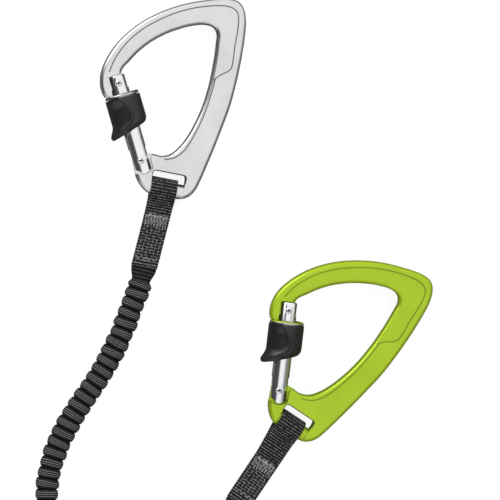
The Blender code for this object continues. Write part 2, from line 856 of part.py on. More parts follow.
def make_clip(name, gate_frame):
    inner = GATE_RADIUS - CLIP_GROOVE_DEPTH + SEAT_GAP
    clip = new_part(
        name + "_sleeve_stop_clip",
        turned_mesh(
            "stop_clip",
            [
                (CLIP_RADIUS, CLIP_FOOT + CLIP_HEIGHT),
                (CLIP_RADIUS, CLIP_FOOT),
                (inner, CLIP_FOOT),
                (inner, CLIP_FOOT + CLIP_HEIGHT),
            ],
            closed=True,
        ),
        STEEL,
        gate_frame,
        rotation=(-math.pi / 2, 0, 0),
    )
    turn(clip, 20)
    mouth = box_mesh(
        "clip_mouth",
        (0, CLIP_FOOT - CUT_OVERRUN, -CLIP_MOUTH / 2),
        (CLIP_RADIUS + CUT_OVERRUN, CLIP_FOOT + CLIP_HEIGHT + CUT_OVERRUN, CLIP_MOUTH / 2),
    )
    cut(clip, new_cutter(name + "_clip_mouth", mouth, gate_frame))


def smooth_step(value, low, high):
    share = min(max((value - low) / (high - low), 0.0), 1.0)
    return share * share * (3 - 2 * share)


def sleeve_outside(angle, share):
    """The sleeve's radius at an angle from its inner side, at a share of the way down."""
    to_left = max(0.0, -math.cos(angle))
    flare = SLEEVE_FLARE * smooth_step(share, FLARE_START_SHARE, 1.0) * to_left**1.5
    turned = abs(angle)
    scoop = SLEEVE_SCOOP * smooth_step(turned, *SCOOP_STARTS) * (1 - smooth_step(turned, *SCOOP_ENDS))
    scoop *= smooth_step(share, *SCOOP_TOP_SHARES) * (1 - smooth_step(share, *SCOOP_FOOT_SHARES))
    corner = SLEEVE_ROUND * smooth_step(share, CORNER_START_SHARE, 1.0) * (1 - to_left)
    lip = SLEEVE_LIP * (1 - smooth_step(share, 0.0, LIP_END_SHARE))
    return SLEEVE_RADIUS + flare - scoop - corner - lip


def make_sleeve(name, sleeve_frame):
    around = 24
    rows_shares = (0.0, 0.05, 0.2, 0.38, 0.56, 0.72, 0.82, 0.92, 1.0)
    recess = RING_SKIRT_RADIUS + SEAT_GAP
    recess_foot = RING_SKIRT_FOOT - SEAT_GAP
    chamber_foot = CLIP_FOOT - SEAT_GAP
    bore = GATE_RADIUS + SLIDE_GAP
    inside = [
        (recess, SLEEVE_TOP),
        (recess, recess_foot),
        (SLEEVE_CHAMBER_RADIUS, recess_foot),
        (SLEEVE_CHAMBER_RADIUS, chamber_foot),
        (bore, chamber_foot),
    ]
    bm = bmesh.new()
    loops = []
    for share in rows_shares:
        loop = []
        for index in range(around):
            angle = math.pi * (2 * index / around - 1)
            radius = sleeve_outside(angle, share)
            across = radius * math.cos(angle)
            foot = SLEEVE_FOOT + SLEEVE_SLANT * across
            along = SLEEVE_TOP + (foot - SLEEVE_TOP) * share
            loop.append(bm.verts.new((across, along, radius * math.sin(angle))))
        loops.append(loop)
    lowest = []
    for index in range(around):
        angle = math.pi * (2 * index / around - 1)
        across = bore * math.cos(angle)
        lowest.append(
            bm.verts.new((across, SLEEVE_FOOT + SLEEVE_SLANT * across, bore * math.sin(angle)))
        )
    loops.append(lowest)
    for radius, along in reversed(inside):
        loop = []
        for index in range(around):
            angle = math.pi * (2 * index / around - 1)
            loop.append(bm.verts.new((radius * math.cos(angle), along, radius * math.sin(angle))))
        loops.append(loop)
    loops.append(loops[0])
    for upper, lower in zip(loops, loops[1:]):
        for index in range(around):
            after = (index + 1) % around
            bm.faces.new((upper[index], upper[after], lower[after], lower[index]))
    bmesh.ops.recalc_face_normals(bm, faces=bm.faces)
    new_part(name + "_sleeve", mesh_from(bm, "sleeve"), BLACK_PLASTIC, sleeve_frame)


def make_carabiner(name, lies, paint, ring_paint, lanyard):
    frame = new_empty(
        name + "_swing_axis",
        lanyard,
        (*lies["place"], BAR_HEIGHT),
        (0, ROLL, -lies["tilt"]),
    )
    gate_frame = new_empty(name + "_gate_axis", frame, (HINGE.x, HINGE.y, 0), (0, 0, GATE_LEAN))
    sleeve_frame = new_empty(name + "_sleeve_slide", gate_frame)
    plunger_frame = new_empty(name + "_plunger_slide", gate_frame)
    make_plate(name, paint, frame, gate_frame)
    make_gate(name, gate_frame)
    make_pin(name + "_hinge_rivet", gate_frame, 0)
    make_pin(name + "_latch_pin", gate_frame, GATE_LENGTH)
    plunger_top = make_plunger(name, plunger_frame)
    make_spring(
        name + "_gate_spring",
        gate_frame,
        GATE_SPRING_RADIUS,
        GATE_SPRING_WIRE,
        plunger_top + SEAT_GAP,
        GATE_BORE_TOP - SEAT_GAP,
        GATE_SPRING_TURNS,
    )
    make_sleeve(name, sleeve_frame)
    make_ring(name, ring_paint, sleeve_frame)
    make_clip(name, gate_frame)
    make_spring(
        name + "_sleeve_spring",
        gate_frame,
        SLEEVE_SPRING_RADIUS,
        SLEEVE_SPRING_WIRE,
        CLIP_FOOT + CLIP_HEIGHT + SEAT_GAP,
        RING_SKIRT_FOOT - SEAT_GAP,
        SLEEVE_SPRING_TURNS,
    )


def strap_join(radius, thickness, angle):
    """How far from the centre of a strap's loop its two layers lie flat together."""
    half_tail = thickness + STRAP_STITCH_GAP / 2
    outside = radius + thickness
    return outside * math.cos(angle) + (outside * math.sin(angle) - half_tail) * math.tan(angle)


def strap_mesh(name, radius, thickness, angle, tail, width, place):
    """A strap that loops round the origin and is sewn to itself along +X, two layers
    thick, as far as its tail. place() moves each of its points to where it lies."""
    half_tail = thickness + STRAP_STITCH_GAP / 2
    outside = radius + thickness
    join = strap_join(radius, thickness, angle)
    apex = radius / math.cos(angle)
    bm = bmesh.new()
    outer = []
    inner = []
    for index in range(STRAP_STEPS + 1):
        turned = angle + (2 * math.pi - 2 * angle) * index / STRAP_STEPS
        direction = Vector((math.cos(turned), math.sin(turned), 0))
        outer.append(bm.verts.new(direction * outside))
        inner.append(bm.verts.new(direction * radius))
    point = bm.verts.new((apex, 0, 0))
    inner = [point, *inner, point]
    lower = []
    upper = []
    for index in range(TAIL_STEPS + 1):
        along = join + (tail - join) * index / TAIL_STEPS
        lower.append(bm.verts.new((along, -half_tail, 0)))
        upper.append(bm.verts.new((along, half_tail, 0)))
    outer = [upper[0], *outer, lower[0]]
    for index in range(len(outer) - 1):
        bm.faces.new((outer[index], outer[index + 1], inner[index + 1], inner[index]))
    bm.faces.new((point, lower[0], upper[0]))
    for index in range(TAIL_STEPS):
        bm.faces.new((lower[index], lower[index + 1], upper[index + 1], upper[index]))
    bmesh.ops.translate(bm, verts=bm.verts, vec=(0, 0, -width / 2))
    extruded = bmesh.ops.extrude_face_region(bm, geom=bm.faces[:])
    lifted = [item for item in extruded["geom"] if isinstance(item, bmesh.types.BMVert)]
    bmesh.ops.translate(bm, verts=lifted, vec=(0, 0, width))
    for vert in bm.verts:
        vert.co = place(*vert.co)
    bmesh.ops.recalc_face_normals(bm, faces=bm.faces)
    if bm.calc_volume(signed=True) < 0:
        bmesh.ops.reverse_faces(bm, faces=bm.faces)
    return mesh_from(bm, name)


def eye_placer(lies):
    """Places a point of the eye's side outline: along the strap, above it and across it."""
    lean = math.tan(lies["lean"])
    clear = EYE_RADIUS + WEBBING_THICKNESS

    def place(along, above, across):
        level = smooth_step(along, clear, lies["sewn"] * EYE_LEVEL_SHARE)
        roll = ROLL * (1 - level)
        aside = across + lies["shift"] - lean * max(0.0, along - clear)
        x = aside * math.cos(roll) + above * math.sin(roll)
        z = above * math.cos(roll) - aside * math.sin(roll) - (BAR_HEIGHT - FLAT) * level
        return (x, -along, z)

    return place


def make_eye(name, lies, lanyard):
    frame = new_empty(
        name + "_eye_frame",
        lanyard,
        (*lies["place"], BAR_HEIGHT),
        (0, 0, -lies["tilt"]),
    )
    place = eye_placer(lies)
    mesh = strap_mesh(
        name + "_eye",
        EYE_RADIUS,
        WEBBING_THICKNESS,
        EYE_ANGLE,
        lies["sewn"],
        WEBBING_WIDTH,
        place,
    )
    new_part(name + "_eye_webbing", mesh, WEBBING, frame)
    above = SEWN_THICKNESS / 2 + SEAT_GAP + THREAD_RADIUS
    for tack in ("upper_tack", "lower_tack"):
        points = []
        for index in range(2 * TACK_STITCHES):
            across = TACK_WIDTH * (index / (2 * TACK_STITCHES - 1) - 0.5)
            points.append(place(lies[tack][index % 2], above, across))
        thread = tube_mesh(tack, points, THREAD_RADIUS, 0)
        new_part(f"{name}_{tack}", thread, THREAD, frame)


def strap_end(lies):
    """Where a sewn eye ends on the table, and the way the arm leaves it."""
    right = Vector((math.cos(lies["tilt"]), -math.sin(lies["tilt"])))
    down = Vector((-math.sin(lies["tilt"]), -math.cos(lies["tilt"])))
    across, along, _ = eye_placer(lies)(lies["sewn"], 0, 0)
    end = Vector(lies["place"]) + right * across - down * along
    heading = (down - right * math.tan(lies["lean"])).normalized()
    return end, heading


def hank_points(centre, side):
    """Down, up and down again through a hank's tie, with a round loop below and above."""
    x, waist = centre
    spread = FOLD_RADIUS + RUN_SPACING / 2
    neck = math.sqrt((2 * FOLD_RADIUS) ** 2 - spread**2)
    lean = math.acos(spread / (2 * FOLD_RADIUS))
    bend = FOLD_RADIUS * (1 - math.cos(lean / 2))
    points = []
    for run, down in ((-1, 1), (0, -1), (1, 1)):
        across = x + side * run * RUN_SPACING
        for level in (TIE_WIDTH / 2, 0, -TIE_WIDTH / 2):
            points.append((across, waist + down * level, ON_TIE))
        if run == 1:
            break
        middle = across + side * RUN_SPACING / 2
        below = waist - down * (TIE_WIDTH / 2 + FOLD_RADIUS * math.sin(lean / 2))
        height = waist - down * (TIE_WIDTH / 2 + neck)
        points.append((across - side * bend, below, FLAT))
        for step in range(FOLD_STEPS + 1):
            angle = math.pi - lean + (math.pi + 2 * lean) * step / FOLD_STEPS
            points.append(
                (
                    middle + side * FOLD_RADIUS * math.cos(angle),
                    height + down * FOLD_RADIUS * math.sin(angle),
                    FLAT,
                )
            )
        points.append((across + side * (RUN_SPACING + bend), below, FLAT))
    return points


def smooth_path(points, step):
    """Evenly spaced points on a smooth curve through the given ones."""
    places = np.array(points, float)
    before = 2 * places[0] - places[1]
    after = 2 * places[-1] - places[-2]
    padded = np.vstack([before, places, after])
    fine = []
    for index in range(1, len(padded) - 2):
        a, b, c, d = padded[index - 1 : index + 3]
        for t in np.linspace(0, 1, 24, endpoint=False):
            fine.append(
                0.5
                * (
                    2 * b
                    + (c - a) * t
                    + (2 * a - 5 * b + 4 * c - d) * t**2
                    + (3 * b - a - 3 * c + d) * t**3
                )
            )
    fine.append(places[-1])
    fine = np.array(fine)
    lengths = np.concatenate([[0], np.cumsum(np.linalg.norm(np.diff(fine, axis=0), axis=1))])
    count = max(1, round(lengths[-1] / step))
    wanted = np.linspace(0, lengths[-1], count + 1)
    spaced = np.column_stack([np.interp(wanted, lengths, fine[:, k]) for k in range(3)])
    return spaced, lengths[-1]


def ribbed_mesh(name, points, radii):
    """A flat oval tube along the points, swelling and narrowing with the radii."""
    section = bpy.data.curves.new(name + "_section", "CURVE")
    section.dimensions = "2D"
    sides = 8
    ring = []
    for index in range(sides):
        angle = 2 * math.pi * (index + 0.5) / sides
        stretch = 1 / math.cos(math.pi / sides)
        x = ARM_WIDTH / 2 * stretch * math.cos(angle)
        y = ARM_THICKNESS / 2 * stretch * math.sin(angle)
        ring.append((x, y, 0))
    add_poly(section, ring, cyclic=True)
    guide = bpy.data.objects.new(name + "_section", section)
    LAYOUT.objects.link(guide)
    curve = bpy.data.curves.new(name, "CURVE")
    curve.dimensions = "3D"
    curve.bevel_mode = "OBJECT"
    curve.bevel_object = guide
    curve.use_fill_caps = True
    curve.twist_mode = "Z_UP"
    spline = add_poly(curve, points)
    for point, radius in zip(spline.points, radii):
        point.radius = radius
    mesh = mesh_of_curve(curve)
    bpy.data.objects.remove(guide, do_unlink=True)
    return mesh


def least_gap(points, reach):
    """The least clear distance between stretches of a path that are not neighbours."""
    places = np.array(points)
    steps = np.linalg.norm(np.diff(places, axis=0), axis=1).mean()
    apart = int(math.ceil(3 * reach / steps))
    least = math.inf
    for index in range(len(places) - apart):
        gaps = np.linalg.norm(places[index + apart :] - places[index], axis=1)
        least = min(least, gaps.min())
    return least - reach


def make_arm(name, lies, to_hank, hank, from_hank, break_length, lanyard):
    """One elastic arm, as its free stretch and its hank."""
    end, heading = strap_end(lies)
    start = end + heading * (SEAT_GAP + ARM_WIDTH / 2 * math.tan(lies["lean"]))
    straight = end + heading * ARM_WIDTH
    points = [
        (start.x, start.y, FLAT),
        (straight.x, straight.y, FLAT),
        *to_hank,
        *hank_points(*hank),
        *from_hank,
    ]
    path, length = smooth_path(points, RIB_PITCH / 2)
    spacing = length / (len(path) - 1)
    radii = []
    for index in range(len(path)):
        to_end = min(index, len(path) - 1 - index) * spacing
        if to_end < ARM_SMOOTH_END:
            radii.append(PLAIN_END)
        else:
            radii.append(RIB_WAIST if index % 2 else 1.0)
    split = round(break_length / spacing)
    print(f"{name} arm: {length:.4f} m long with {radii.count(1.0)} ribs")
    print(f"{name} arm: least gap to itself {least_gap(path, ARM_WIDTH) / MM:.2f} mm")
    onward = Vector(path[split + 1] - path[split]).normalized()
    later = path[split:].copy()
    later[0] = later[0] + np.array(onward * SEAT_GAP)
    free = ribbed_mesh(name + "_free", path[: split + 1], radii[: split + 1])
    folded = ribbed_mesh(name + "_folded", later, radii[split:])
    new_part(name + "_elastic_arm", free, WEBBING, lanyard)
    new_part(name + "_elastic_arm_hank", folded, WEBBING, lanyard)


def make_tie(name, hank, lanyard):
    (x, waist), _ = hank
    width = 2 * RUN_SPACING + ARM_WIDTH + 2 * SEAT_GAP
    height = ARM_THICKNESS + 2 * SEAT_GAP
    band = flat_curve(name, TIE_WIDTH / 2)
    for grow in (TIE_THICKNESS, 0):
        outline = rounded_rectangle(
            width + 2 * grow, height + 2 * grow, TIE_CORNER - TIE_THICKNESS + grow, (0, 0)
        )
        add_poly(band, [(px, py, 0) for px, py in outline], cyclic=True)
    new_part(
        name,
        mesh_of_curve(band),
        RUBBER,
        lanyard,
        location=(x, waist, height / 2 + TIE_THICKNESS),
        rotation=(math.pi / 2, 0, 0),
    )


def make_arm_ends(lanyard):
    """The sewn webbing ends by which both arms enter the absorber."""
    low = POUCH_PLACE[1] - PACK_INSET + SEAT_GAP
    half = SEWN_THICKNESS / 2
    for name, route in (("silver", SILVER_FROM_HANK), ("lime", LIME_FROM_HANK)):
        centre, arm_end, _ = route[-1]
        mesh = box_mesh(
            name + "_arm_end",
            (centre - WEBBING_WIDTH / 2, low, FLAT - half),
            (centre + WEBBING_WIDTH / 2, arm_end - SEAT_GAP, FLAT + half),
        )
        part = new_part(name + "_arm_end_webbing", mesh, WEBBING, lanyard)
        bevel = part.modifiers.new("soft_edges", "BEVEL")
        bevel.width = SEWN_THICKNESS / 5
        bevel.segments = 1


def make_pouch(lanyard):
    x, y = POUCH_PLACE
    half = POUCH_WIDTH / 2
    pouch = new_part(
        "absorber_pouch",
        box_mesh("pouch", (x - half, y - POUCH_LENGTH, 0), (x + half, y, POUCH_HEIGHT)),
        POUCH_CLOTH,
        lanyard,
    )
    bevel = pouch.modifiers.new("soft_edges", "BEVEL")
    bevel.width = POUCH_ROUND
    bevel.segments = 3
    inside = new_cutter(
        "pouch_inside",
        box_mesh(
            "pouch_inside",
            (x - half + POUCH_WALL, y - POUCH_LENGTH + POUCH_WALL, POUCH_WALL),
            (x + half - POUCH_WALL, y - POUCH_WALL, POUCH_HEIGHT - POUCH_WALL),
        ),
        lanyard,
    )
    bevel = inside.modifiers.new("soft_edges", "BEVEL")
    bevel.width = POUCH_ROUND - POUCH_WALL
    bevel.segments = 3
    cut(pouch, inside)
    floor = POUCH_WALL + SEAT_GAP
    mouth = box_mesh(
        "pouch_mouth",
        (x - POUCH_MOUTH_WIDTH / 2, y - POUCH_ROUND, floor),
        (x + POUCH_MOUTH_WIDTH / 2, y + CUT_OVERRUN, floor + POUCH_MOUTH_HEIGHT),
    )
    cut(pouch, new_cutter("pouch_mouth", mouth, lanyard))
    tail = box_mesh(
        "pouch_tail_mouth",
        (x - POUCH_TAIL_MOUTH_WIDTH / 2, y - POUCH_LENGTH - CUT_OVERRUN, floor),
        (
            x + POUCH_TAIL_MOUTH_WIDTH / 2,
            y - POUCH_LENGTH + POUCH_ROUND,
            LOOP_WIDTH + LOOP_LIFT,
        ),
    )
    cut(pouch, new_cutter("pouch_tail_mouth", tail, lanyard))


def make_pack(lanyard):
    """The tear webbing, folded to and fro in a stack that lies on the pouch's floor."""
    x, y = POUCH_PLACE
    high = y - PACK_INSET
    low = high - PACK_LENGTH
    right = [(low, POUCH_WALL + SEAT_GAP), (high, POUCH_WALL + SEAT_GAP)]
    left = []
    for layer in range(PACK_LAYERS - 1):
        top = POUCH_WALL + SEAT_GAP + layer * (PACK_LAYER + PACK_LAYER_GAP) + PACK_LAYER
        base = top + PACK_LAYER_GAP
        if layer % 2:
            fold = low + PACK_LAYER
            right += [(high, top), (fold, top), (fold, base), (high, base)]
        else:
            fold = high - PACK_LAYER
            left += [(low, top), (fold, top), (fold, base), (low, base)]
    height = base + PACK_LAYER
    outline = right + [(high, height), (low, height)] + left[::-1]
    new_part(
        "tear_webbing_pack",
        prism_mesh("tear_pack", outline, -PACK_WIDTH / 2, PACK_WIDTH / 2),
        WEBBING,
        lanyard,
        location=(x, 0, 0),
        rotation=(math.pi / 2, 0, math.pi / 2),
    )


def make_tie_in_loop(lanyard):
    x, y = POUCH_PLACE
    keeper_start = strap_join(LOOP_RADIUS, LOOP_THICKNESS, LOOP_ANGLE) + KEEPER_SEAT
    reach = keeper_start + KEEPER_LENGTH + KEEPER_SEAT
    centre = y - POUCH_LENGTH - reach
    tail = reach + PACK_TAIL_ROOM - SEAT_GAP
    length = LOOP_RADIUS / math.cos(LOOP_ANGLE)

    def place(along, aside, across):
        lift = LOOP_LIFT * smooth_step(along, LOOP_RADIUS, length)
        share = across / LOOP_WIDTH + 0.5
        z = lift + share * (LOOP_WIDTH - lift)
        return (x - aside, centre + along, z)

    mesh = strap_mesh(
        "tie_in_loop", LOOP_RADIUS, LOOP_THICKNESS, LOOP_ANGLE, tail, LOOP_WIDTH, place
    )
    new_part("tie_in_loop", mesh, WEBBING, lanyard)

    inner_width = 2 * (LOOP_THICKNESS + SEAT_GAP) + STRAP_STITCH_GAP
    low = LOOP_LIFT - SEAT_GAP
    high = LOOP_WIDTH + SEAT_GAP
    middle = (low + high) / 2
    band = flat_curve("keeper", KEEPER_LENGTH / 2)
    for grow in (KEEPER_WALL, 0):
        outline = rounded_rectangle(
            inner_width + 2 * grow,
            high - low + 2 * grow,
            SEAT_GAP + grow,
            (0, 0),
        )
        add_poly(band, [(px, py, 0) for px, py in outline], cyclic=True)
    new_part(
        "loop_keeper",
        mesh_of_curve(band),
        RUBBER,
        lanyard,
        location=(x, centre + keeper_start + KEEPER_LENGTH / 2, middle),
        rotation=(math.pi / 2, 0, 0),
    )


def stand_at_origin(lanyard, cord_names):
    """Moves the lanyard so that the box of its pieces, cords aside, stands on the origin."""
    bpy.context.view_layer.update()
    graph = bpy.context.evaluated_depsgraph_get()
    low = np.full(3, np.inf)
    high = np.full(3, -np.inf)
    for part in PARTS.objects:
        if part.name in cord_names:
            continue
        shown = part.evaluated_get(graph)
        mesh = shown.to_mesh()
        for vert in mesh.vertices:
            place = np.array(shown.matrix_world @ vert.co)
            low = np.minimum(low, place)
            high = np.maximum(high, place)
        shown.to_mesh_clear()
    middle = (low + high) / 2
    lanyard.location = (-middle[0], -middle[1], -low[2])
    bpy.context.view_layer.update()
    print("lanyard moved by", [round(value, 6) for value in lanyard.location])
    for empty in LAYOUT.objects:
        place = [round(value, 6) for value in empty.matrix_world.translation]
        print(f"{empty.name} at {place}")


def main():
    lanyard = new_empty("lanyard_on_table", None)
    make_carabiner("silver", SILVER_LIES, SILVER_PAINT, POLISHED, lanyard)
    make_carabiner("lime", LIME_LIES, LIME_PAINT, POLISHED, lanyard)
    make_eye("silver", SILVER_LIES, lanyard)
    make_eye("lime", LIME_LIES, lanyard)
    make_arm(
        "silver",
        SILVER_LIES,
        SILVER_TO_HANK,
        SILVER_HANK,
        SILVER_FROM_HANK,
        SILVER_BREAK,
        lanyard,
    )
    make_arm("lime", LIME_LIES, LIME_TO_HANK, LIME_HANK, LIME_FROM_HANK, LIME_BREAK, lanyard)
    make_arm_ends(lanyard)
    make_pouch(lanyard)
    make_pack(lanyard)
    make_tie_in_loop(lanyard)
    make_tie("silver_hank_tie", SILVER_HANK, lanyard)
    make_tie("lime_hank_tie", LIME_HANK, lanyard)
    stand_at_origin(
        lanyard,
        {
            "silver_elastic_arm",
            "silver_elastic_arm_hank",
            "silver_hank_tie",
            "lime_elastic_arm",
            "lime_elastic_arm_hank",
            "lime_hank_tie",
        },
    )


main()
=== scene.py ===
# %% [markdown]
# # A via ferrata lanyard
#
# Two locking carabiners hang on elastic arms that lead to an energy absorber. The
# engineering model gives every piece its place, and this lesson dresses it: each
# visible piece is made again with fine edges, and every surface gets its finish.
# We load the engineering model first.

import math

import bmesh
import bpy
import numpy as np
from mathutils import Matrix, Vector, noise


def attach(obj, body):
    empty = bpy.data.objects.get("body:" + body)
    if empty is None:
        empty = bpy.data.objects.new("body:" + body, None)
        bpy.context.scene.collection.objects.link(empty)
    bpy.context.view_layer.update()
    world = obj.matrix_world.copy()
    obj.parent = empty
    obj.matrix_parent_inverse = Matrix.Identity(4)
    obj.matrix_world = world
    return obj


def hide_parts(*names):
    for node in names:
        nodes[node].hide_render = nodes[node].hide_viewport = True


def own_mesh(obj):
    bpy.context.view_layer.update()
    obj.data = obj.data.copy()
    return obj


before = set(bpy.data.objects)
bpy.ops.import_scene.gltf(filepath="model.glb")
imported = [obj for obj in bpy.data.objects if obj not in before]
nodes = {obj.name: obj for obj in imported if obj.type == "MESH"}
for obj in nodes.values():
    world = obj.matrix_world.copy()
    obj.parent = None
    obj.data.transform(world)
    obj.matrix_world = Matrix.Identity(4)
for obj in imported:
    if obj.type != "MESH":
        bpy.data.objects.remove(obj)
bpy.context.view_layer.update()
MM = 0.001
print(f"loaded {len(nodes)} pieces")

# %% [markdown]
# ## Camera
#
# The photo was taken from straight above with hardly any perspective. A long lens far
# away does the same, and unlike a parallel camera it also suits other views.

# %% Camera over the table
VIEW_CENTRE = Vector((-0.009664, 0.219914, 0.008))
VIEW_WIDTH = 0.2975
LENS = 300.0
FARTHEST = 60.0


def object_from(name, data):
    obj = bpy.data.objects.new(name, data)
    bpy.context.scene.collection.objects.link(obj)
    return obj


camera_data = bpy.data.cameras.new("camera")
camera_data.lens = LENS
camera_data.clip_end = FARTHEST
camera = object_from("camera", camera_data)
distance = LENS * VIEW_WIDTH / camera_data.sensor_width
camera.location = VIEW_CENTRE + Vector((0, 0, distance))
bpy.context.scene.camera = camera
print(f"camera {distance:.3f} m above the lanyard")

# %% [markdown]
# ## Shader helpers
#
# Every finish below is a small node network. A network's helpers add a node, do sums
# and move a value to another range. A finish adds noise, waves, colour ramps and bumps.

# %% Colours


def linear(red, green, blue):
    """The linear colour of a screen colour given from 0 to 255."""
    shares = [channel / 255 for channel in (red, green, blue)]
    return tuple(s / 12.92 if s < 0.04045 else ((s + 0.055) / 1.055) ** 2.4 for s in shares)


def grey(level, blue=1):
    """A grey with a trace of blue."""
    return linear(level, level, level + blue)


def times(colour, factor):
    return tuple(channel * factor for channel in colour)


print("colours ready")

# %% Networks of nodes


class Network:
    """A node tree under construction."""

    def __init__(self, tree):
        self.tree = tree

    def feed(self, socket, value):
        """Set a socket to a number or colour, or link another node's output to it."""
        if isinstance(value, (int, float, tuple)):
            socket.default_value = value
        elif value is not None:
            self.tree.links.new(value, socket)

    def node(self, kind, inputs):
        node = self.tree.nodes.new(f"ShaderNode{kind}")
        for name, value in inputs.items():
            self.feed(node.inputs[name], value)
        return node

    def split(self, vector):
        """The parts of a vector."""
        return self.node("SeparateXYZ", {"Vector": vector}).outputs

    def math(self, operation, first, second=None):
        node = self.node("Math", {0: first, 1: second})
        node.operation = operation
        return node.outputs["Value"]

    def times(self, first, second):
        return self.math("MULTIPLY", first, second)

    def plus(self, first, second):
        return self.math("ADD", first, second)

    def ease(self, value, start, stop, low=0.0, high=1.0, shape="SMOOTHSTEP"):
        """The value between start and stop, spread between low and high."""
        inputs = {"From Min": start, "From Max": stop, "To Min": low, "To Max": high}
        node = self.node("MapRange", {"Value": value, **inputs})
        node.interpolation_type = shape
        return node.outputs["Result"]


print("networks ready")

# %% Finishes


class Finish(Network):
    """A material under construction, with its shader and its coordinate outputs."""

    def __init__(self, name, roughness, metallic=0.0):
        self.material = bpy.data.materials.new(name)
        self.material.use_nodes = True
        super().__init__(self.material.node_tree)
        self.shader = self.tree.nodes["Principled BSDF"]
        self.set("Metallic", metallic)
        self.set("Roughness", roughness)
        self.coordinates = self.node("TexCoord", {}).outputs

    def set(self, socket, value):
        self.feed(self.shader.inputs[socket], value)

    def noise(self, scale, detail):
        inputs = {"Scale": scale, "Detail": detail, "Vector": self.coordinates["Object"]}
        return self.node("TexNoise", inputs).outputs["Fac"]

    def wave(self, source, turns, power=1.0):
        """A ridge of height 0 to 1 that repeats a number of times per unit of source."""
        ridge = self.math("ABSOLUTE", self.math("SINE", self.times(source, math.pi * turns)))
        return self.math("POWER", ridge, power)

    def spread(self, value, low, high):
        """The value from 0 to 1 spread over another range."""
        return self.ease(value, 0.0, 1.0, low, high, "LINEAR")

    def colours(self, value, stops):
        """A colour ramp read at a value."""
        node = self.node("ValToRGB", {"Fac": value})
        ramp = node.color_ramp
        while len(ramp.elements) < len(stops):
            ramp.elements.new(1.0)
        for element, (place, colour) in zip(ramp.elements, stops):
            element.position = place
            element.color = (*colour, 1.0)
        return node.outputs["Color"]

    def blend(self, value, first, last, start=0.3, stop=0.7):
        """One colour that turns into another as a value goes from start to stop."""
        return self.colours(value, [(start, first), (stop, last)])

    def bump(self, height, distance, strength=1.0):
        inputs = {"Distance": distance, "Strength": strength, "Height": height}
        return self.node("Bump", inputs).outputs["Normal"]


print("finishes can be made")

# %% [markdown]
# ## Metal finishes
#
# The carabiners are forged, tumbled and anodised. Anodising leaves a satin surface with
# a very fine grain, so the colour hardly changes from place to place but the roughness
# does. The gates are only polished, which makes them mirror the room as dark and bright
# bands, with faint marks of turning across them.

# %% Anodised aluminium
SATIN = 0.06
BLOTCHES = (60.0, 4.0)
GRAIN = (2400.0, 2.0)
BLOTCH_SHARE = 0.55
PALE_BETWEEN = (0.38, 0.62)
GRAIN_DEPTH = 0.00002


def anodised(name, colour, paler, roughness, metallic):
    finish = Finish(name, roughness, metallic)
    broad = finish.noise(*BLOTCHES)
    grain = finish.noise(*GRAIN)
    grained = finish.times(grain, 1 - BLOTCH_SHARE)
    mixed = finish.plus(finish.times(broad, BLOTCH_SHARE), grained)
    finish.set("Base Color", finish.blend(mixed, colour, paler, *PALE_BETWEEN))
    finish.set("Roughness", finish.spread(grain, roughness - SATIN, roughness + SATIN))
    finish.set("Normal", finish.bump(grain, GRAIN_DEPTH, 0.5))
    return finish.material


SILVER = anodised("silver_anodised", grey(206), grey(218), 0.27, 1.0)
LIME = anodised("lime_anodised", linear(165, 193, 27), linear(175, 203, 36), 0.36, 0.45)
# Painted shade: the pressed line's finish is darker than the face, for the shadow in its groove.
SILVER_LINE_SHADE = anodised("silver_pressed_line_shade", grey(120), grey(140), 0.5, 0.6)
# Painted shade: the edges round the slot and the gate's seat are dark, for the shadow in these gaps.
SILVER_EDGE_SHADE = anodised("silver_edge_shade", grey(66, 2), grey(84, 2), 0.5, 0.6)
LIME_EDGE_SHADE = anodised("lime_edge_shade", linear(58, 64, 34), linear(74, 82, 44), 0.5, 0.3)
LIME_LINE_SHADE = anodised("lime_pressed_line_shade", linear(134, 160, 26), linear(146, 172, 34), 0.5, 0.3)
print("anodised finishes, and darker ones for pressed lines and shade_painted edges")

# %% Polished aluminium and steel
SMEARS = (120.0, 4.0)
TURNING = (1800.0, 2.0)
TURNING_DEPTH = 0.00001
DULLED = 0.94
SMOOTHEST = 0.7
ROUGHEST = 1.4


def polished(name, colour, roughness, marks):
    finish = Finish(name, roughness, 1.0)
    smear = finish.noise(*SMEARS)
    fine = finish.noise(*TURNING)
    finish.set("Base Color", finish.blend(smear, colour, times(colour, DULLED)))
    worn = finish.spread(smear, roughness * SMOOTHEST, roughness * ROUGHEST)
    finish.set("Roughness", worn)
    finish.set("Normal", finish.bump(fine, TURNING_DEPTH, marks))
    return finish.material


POLISHED = polished("polished_aluminium", linear(232, 233, 235), 0.16, 0.35)
STEEL = polished("spring_steel", grey(190, 2), 0.28, 0.3)
RING_METAL = polished("ring_aluminium", grey(178, 2), 0.24, 0.4)
# Painted shade: the rivets' dimples get this dark finish, for the shadow in their hollows.
DIMPLE_SHADE = polished("dimple_shade", grey(96, 2), 0.3, 0.4)
print("four polished finishes")

# %% [markdown]
# ## Plastic, webbing and thread
#
# The sleeve is moulded black plastic with a half gloss. The webbing is woven: ribs run
# across it, and warp threads cross each rib, one column shifted from the next. Its colour
# follows that relief: painted shade in the hollows and between the warp columns, painted
# highlight on the crests. That pattern follows the cloth, so it reads each piece's own UV
# map, laid out in millimetres: U across the cloth and V along it.

# %% Moulded plastic and rubber
FLOW_MARKS = (90.0, 3.0)
PALER = 1.25
GLOSSIER = 0.04
DULLER = 0.06


def moulded(name, colour, roughness, grain_scale, depth):
    finish = Finish(name, roughness)
    broad = finish.noise(*FLOW_MARKS)
    grain = finish.noise(grain_scale, 2.0)
    finish.set("Base Color", finish.blend(broad, colour, times(colour, PALER)))
    finish.set("Roughness", finish.spread(broad, roughness - GLOSSIER, roughness + DULLER))
    finish.set("Normal", finish.bump(grain, depth, 0.5))
    return finish.material


PLASTIC = moulded("black_plastic", grey(26, 2), 0.36, 1500.0, 0.00001)
RUBBER = moulded("black_rubber", grey(34), 0.62, 2200.0, 0.00003)
print("moulded finishes")

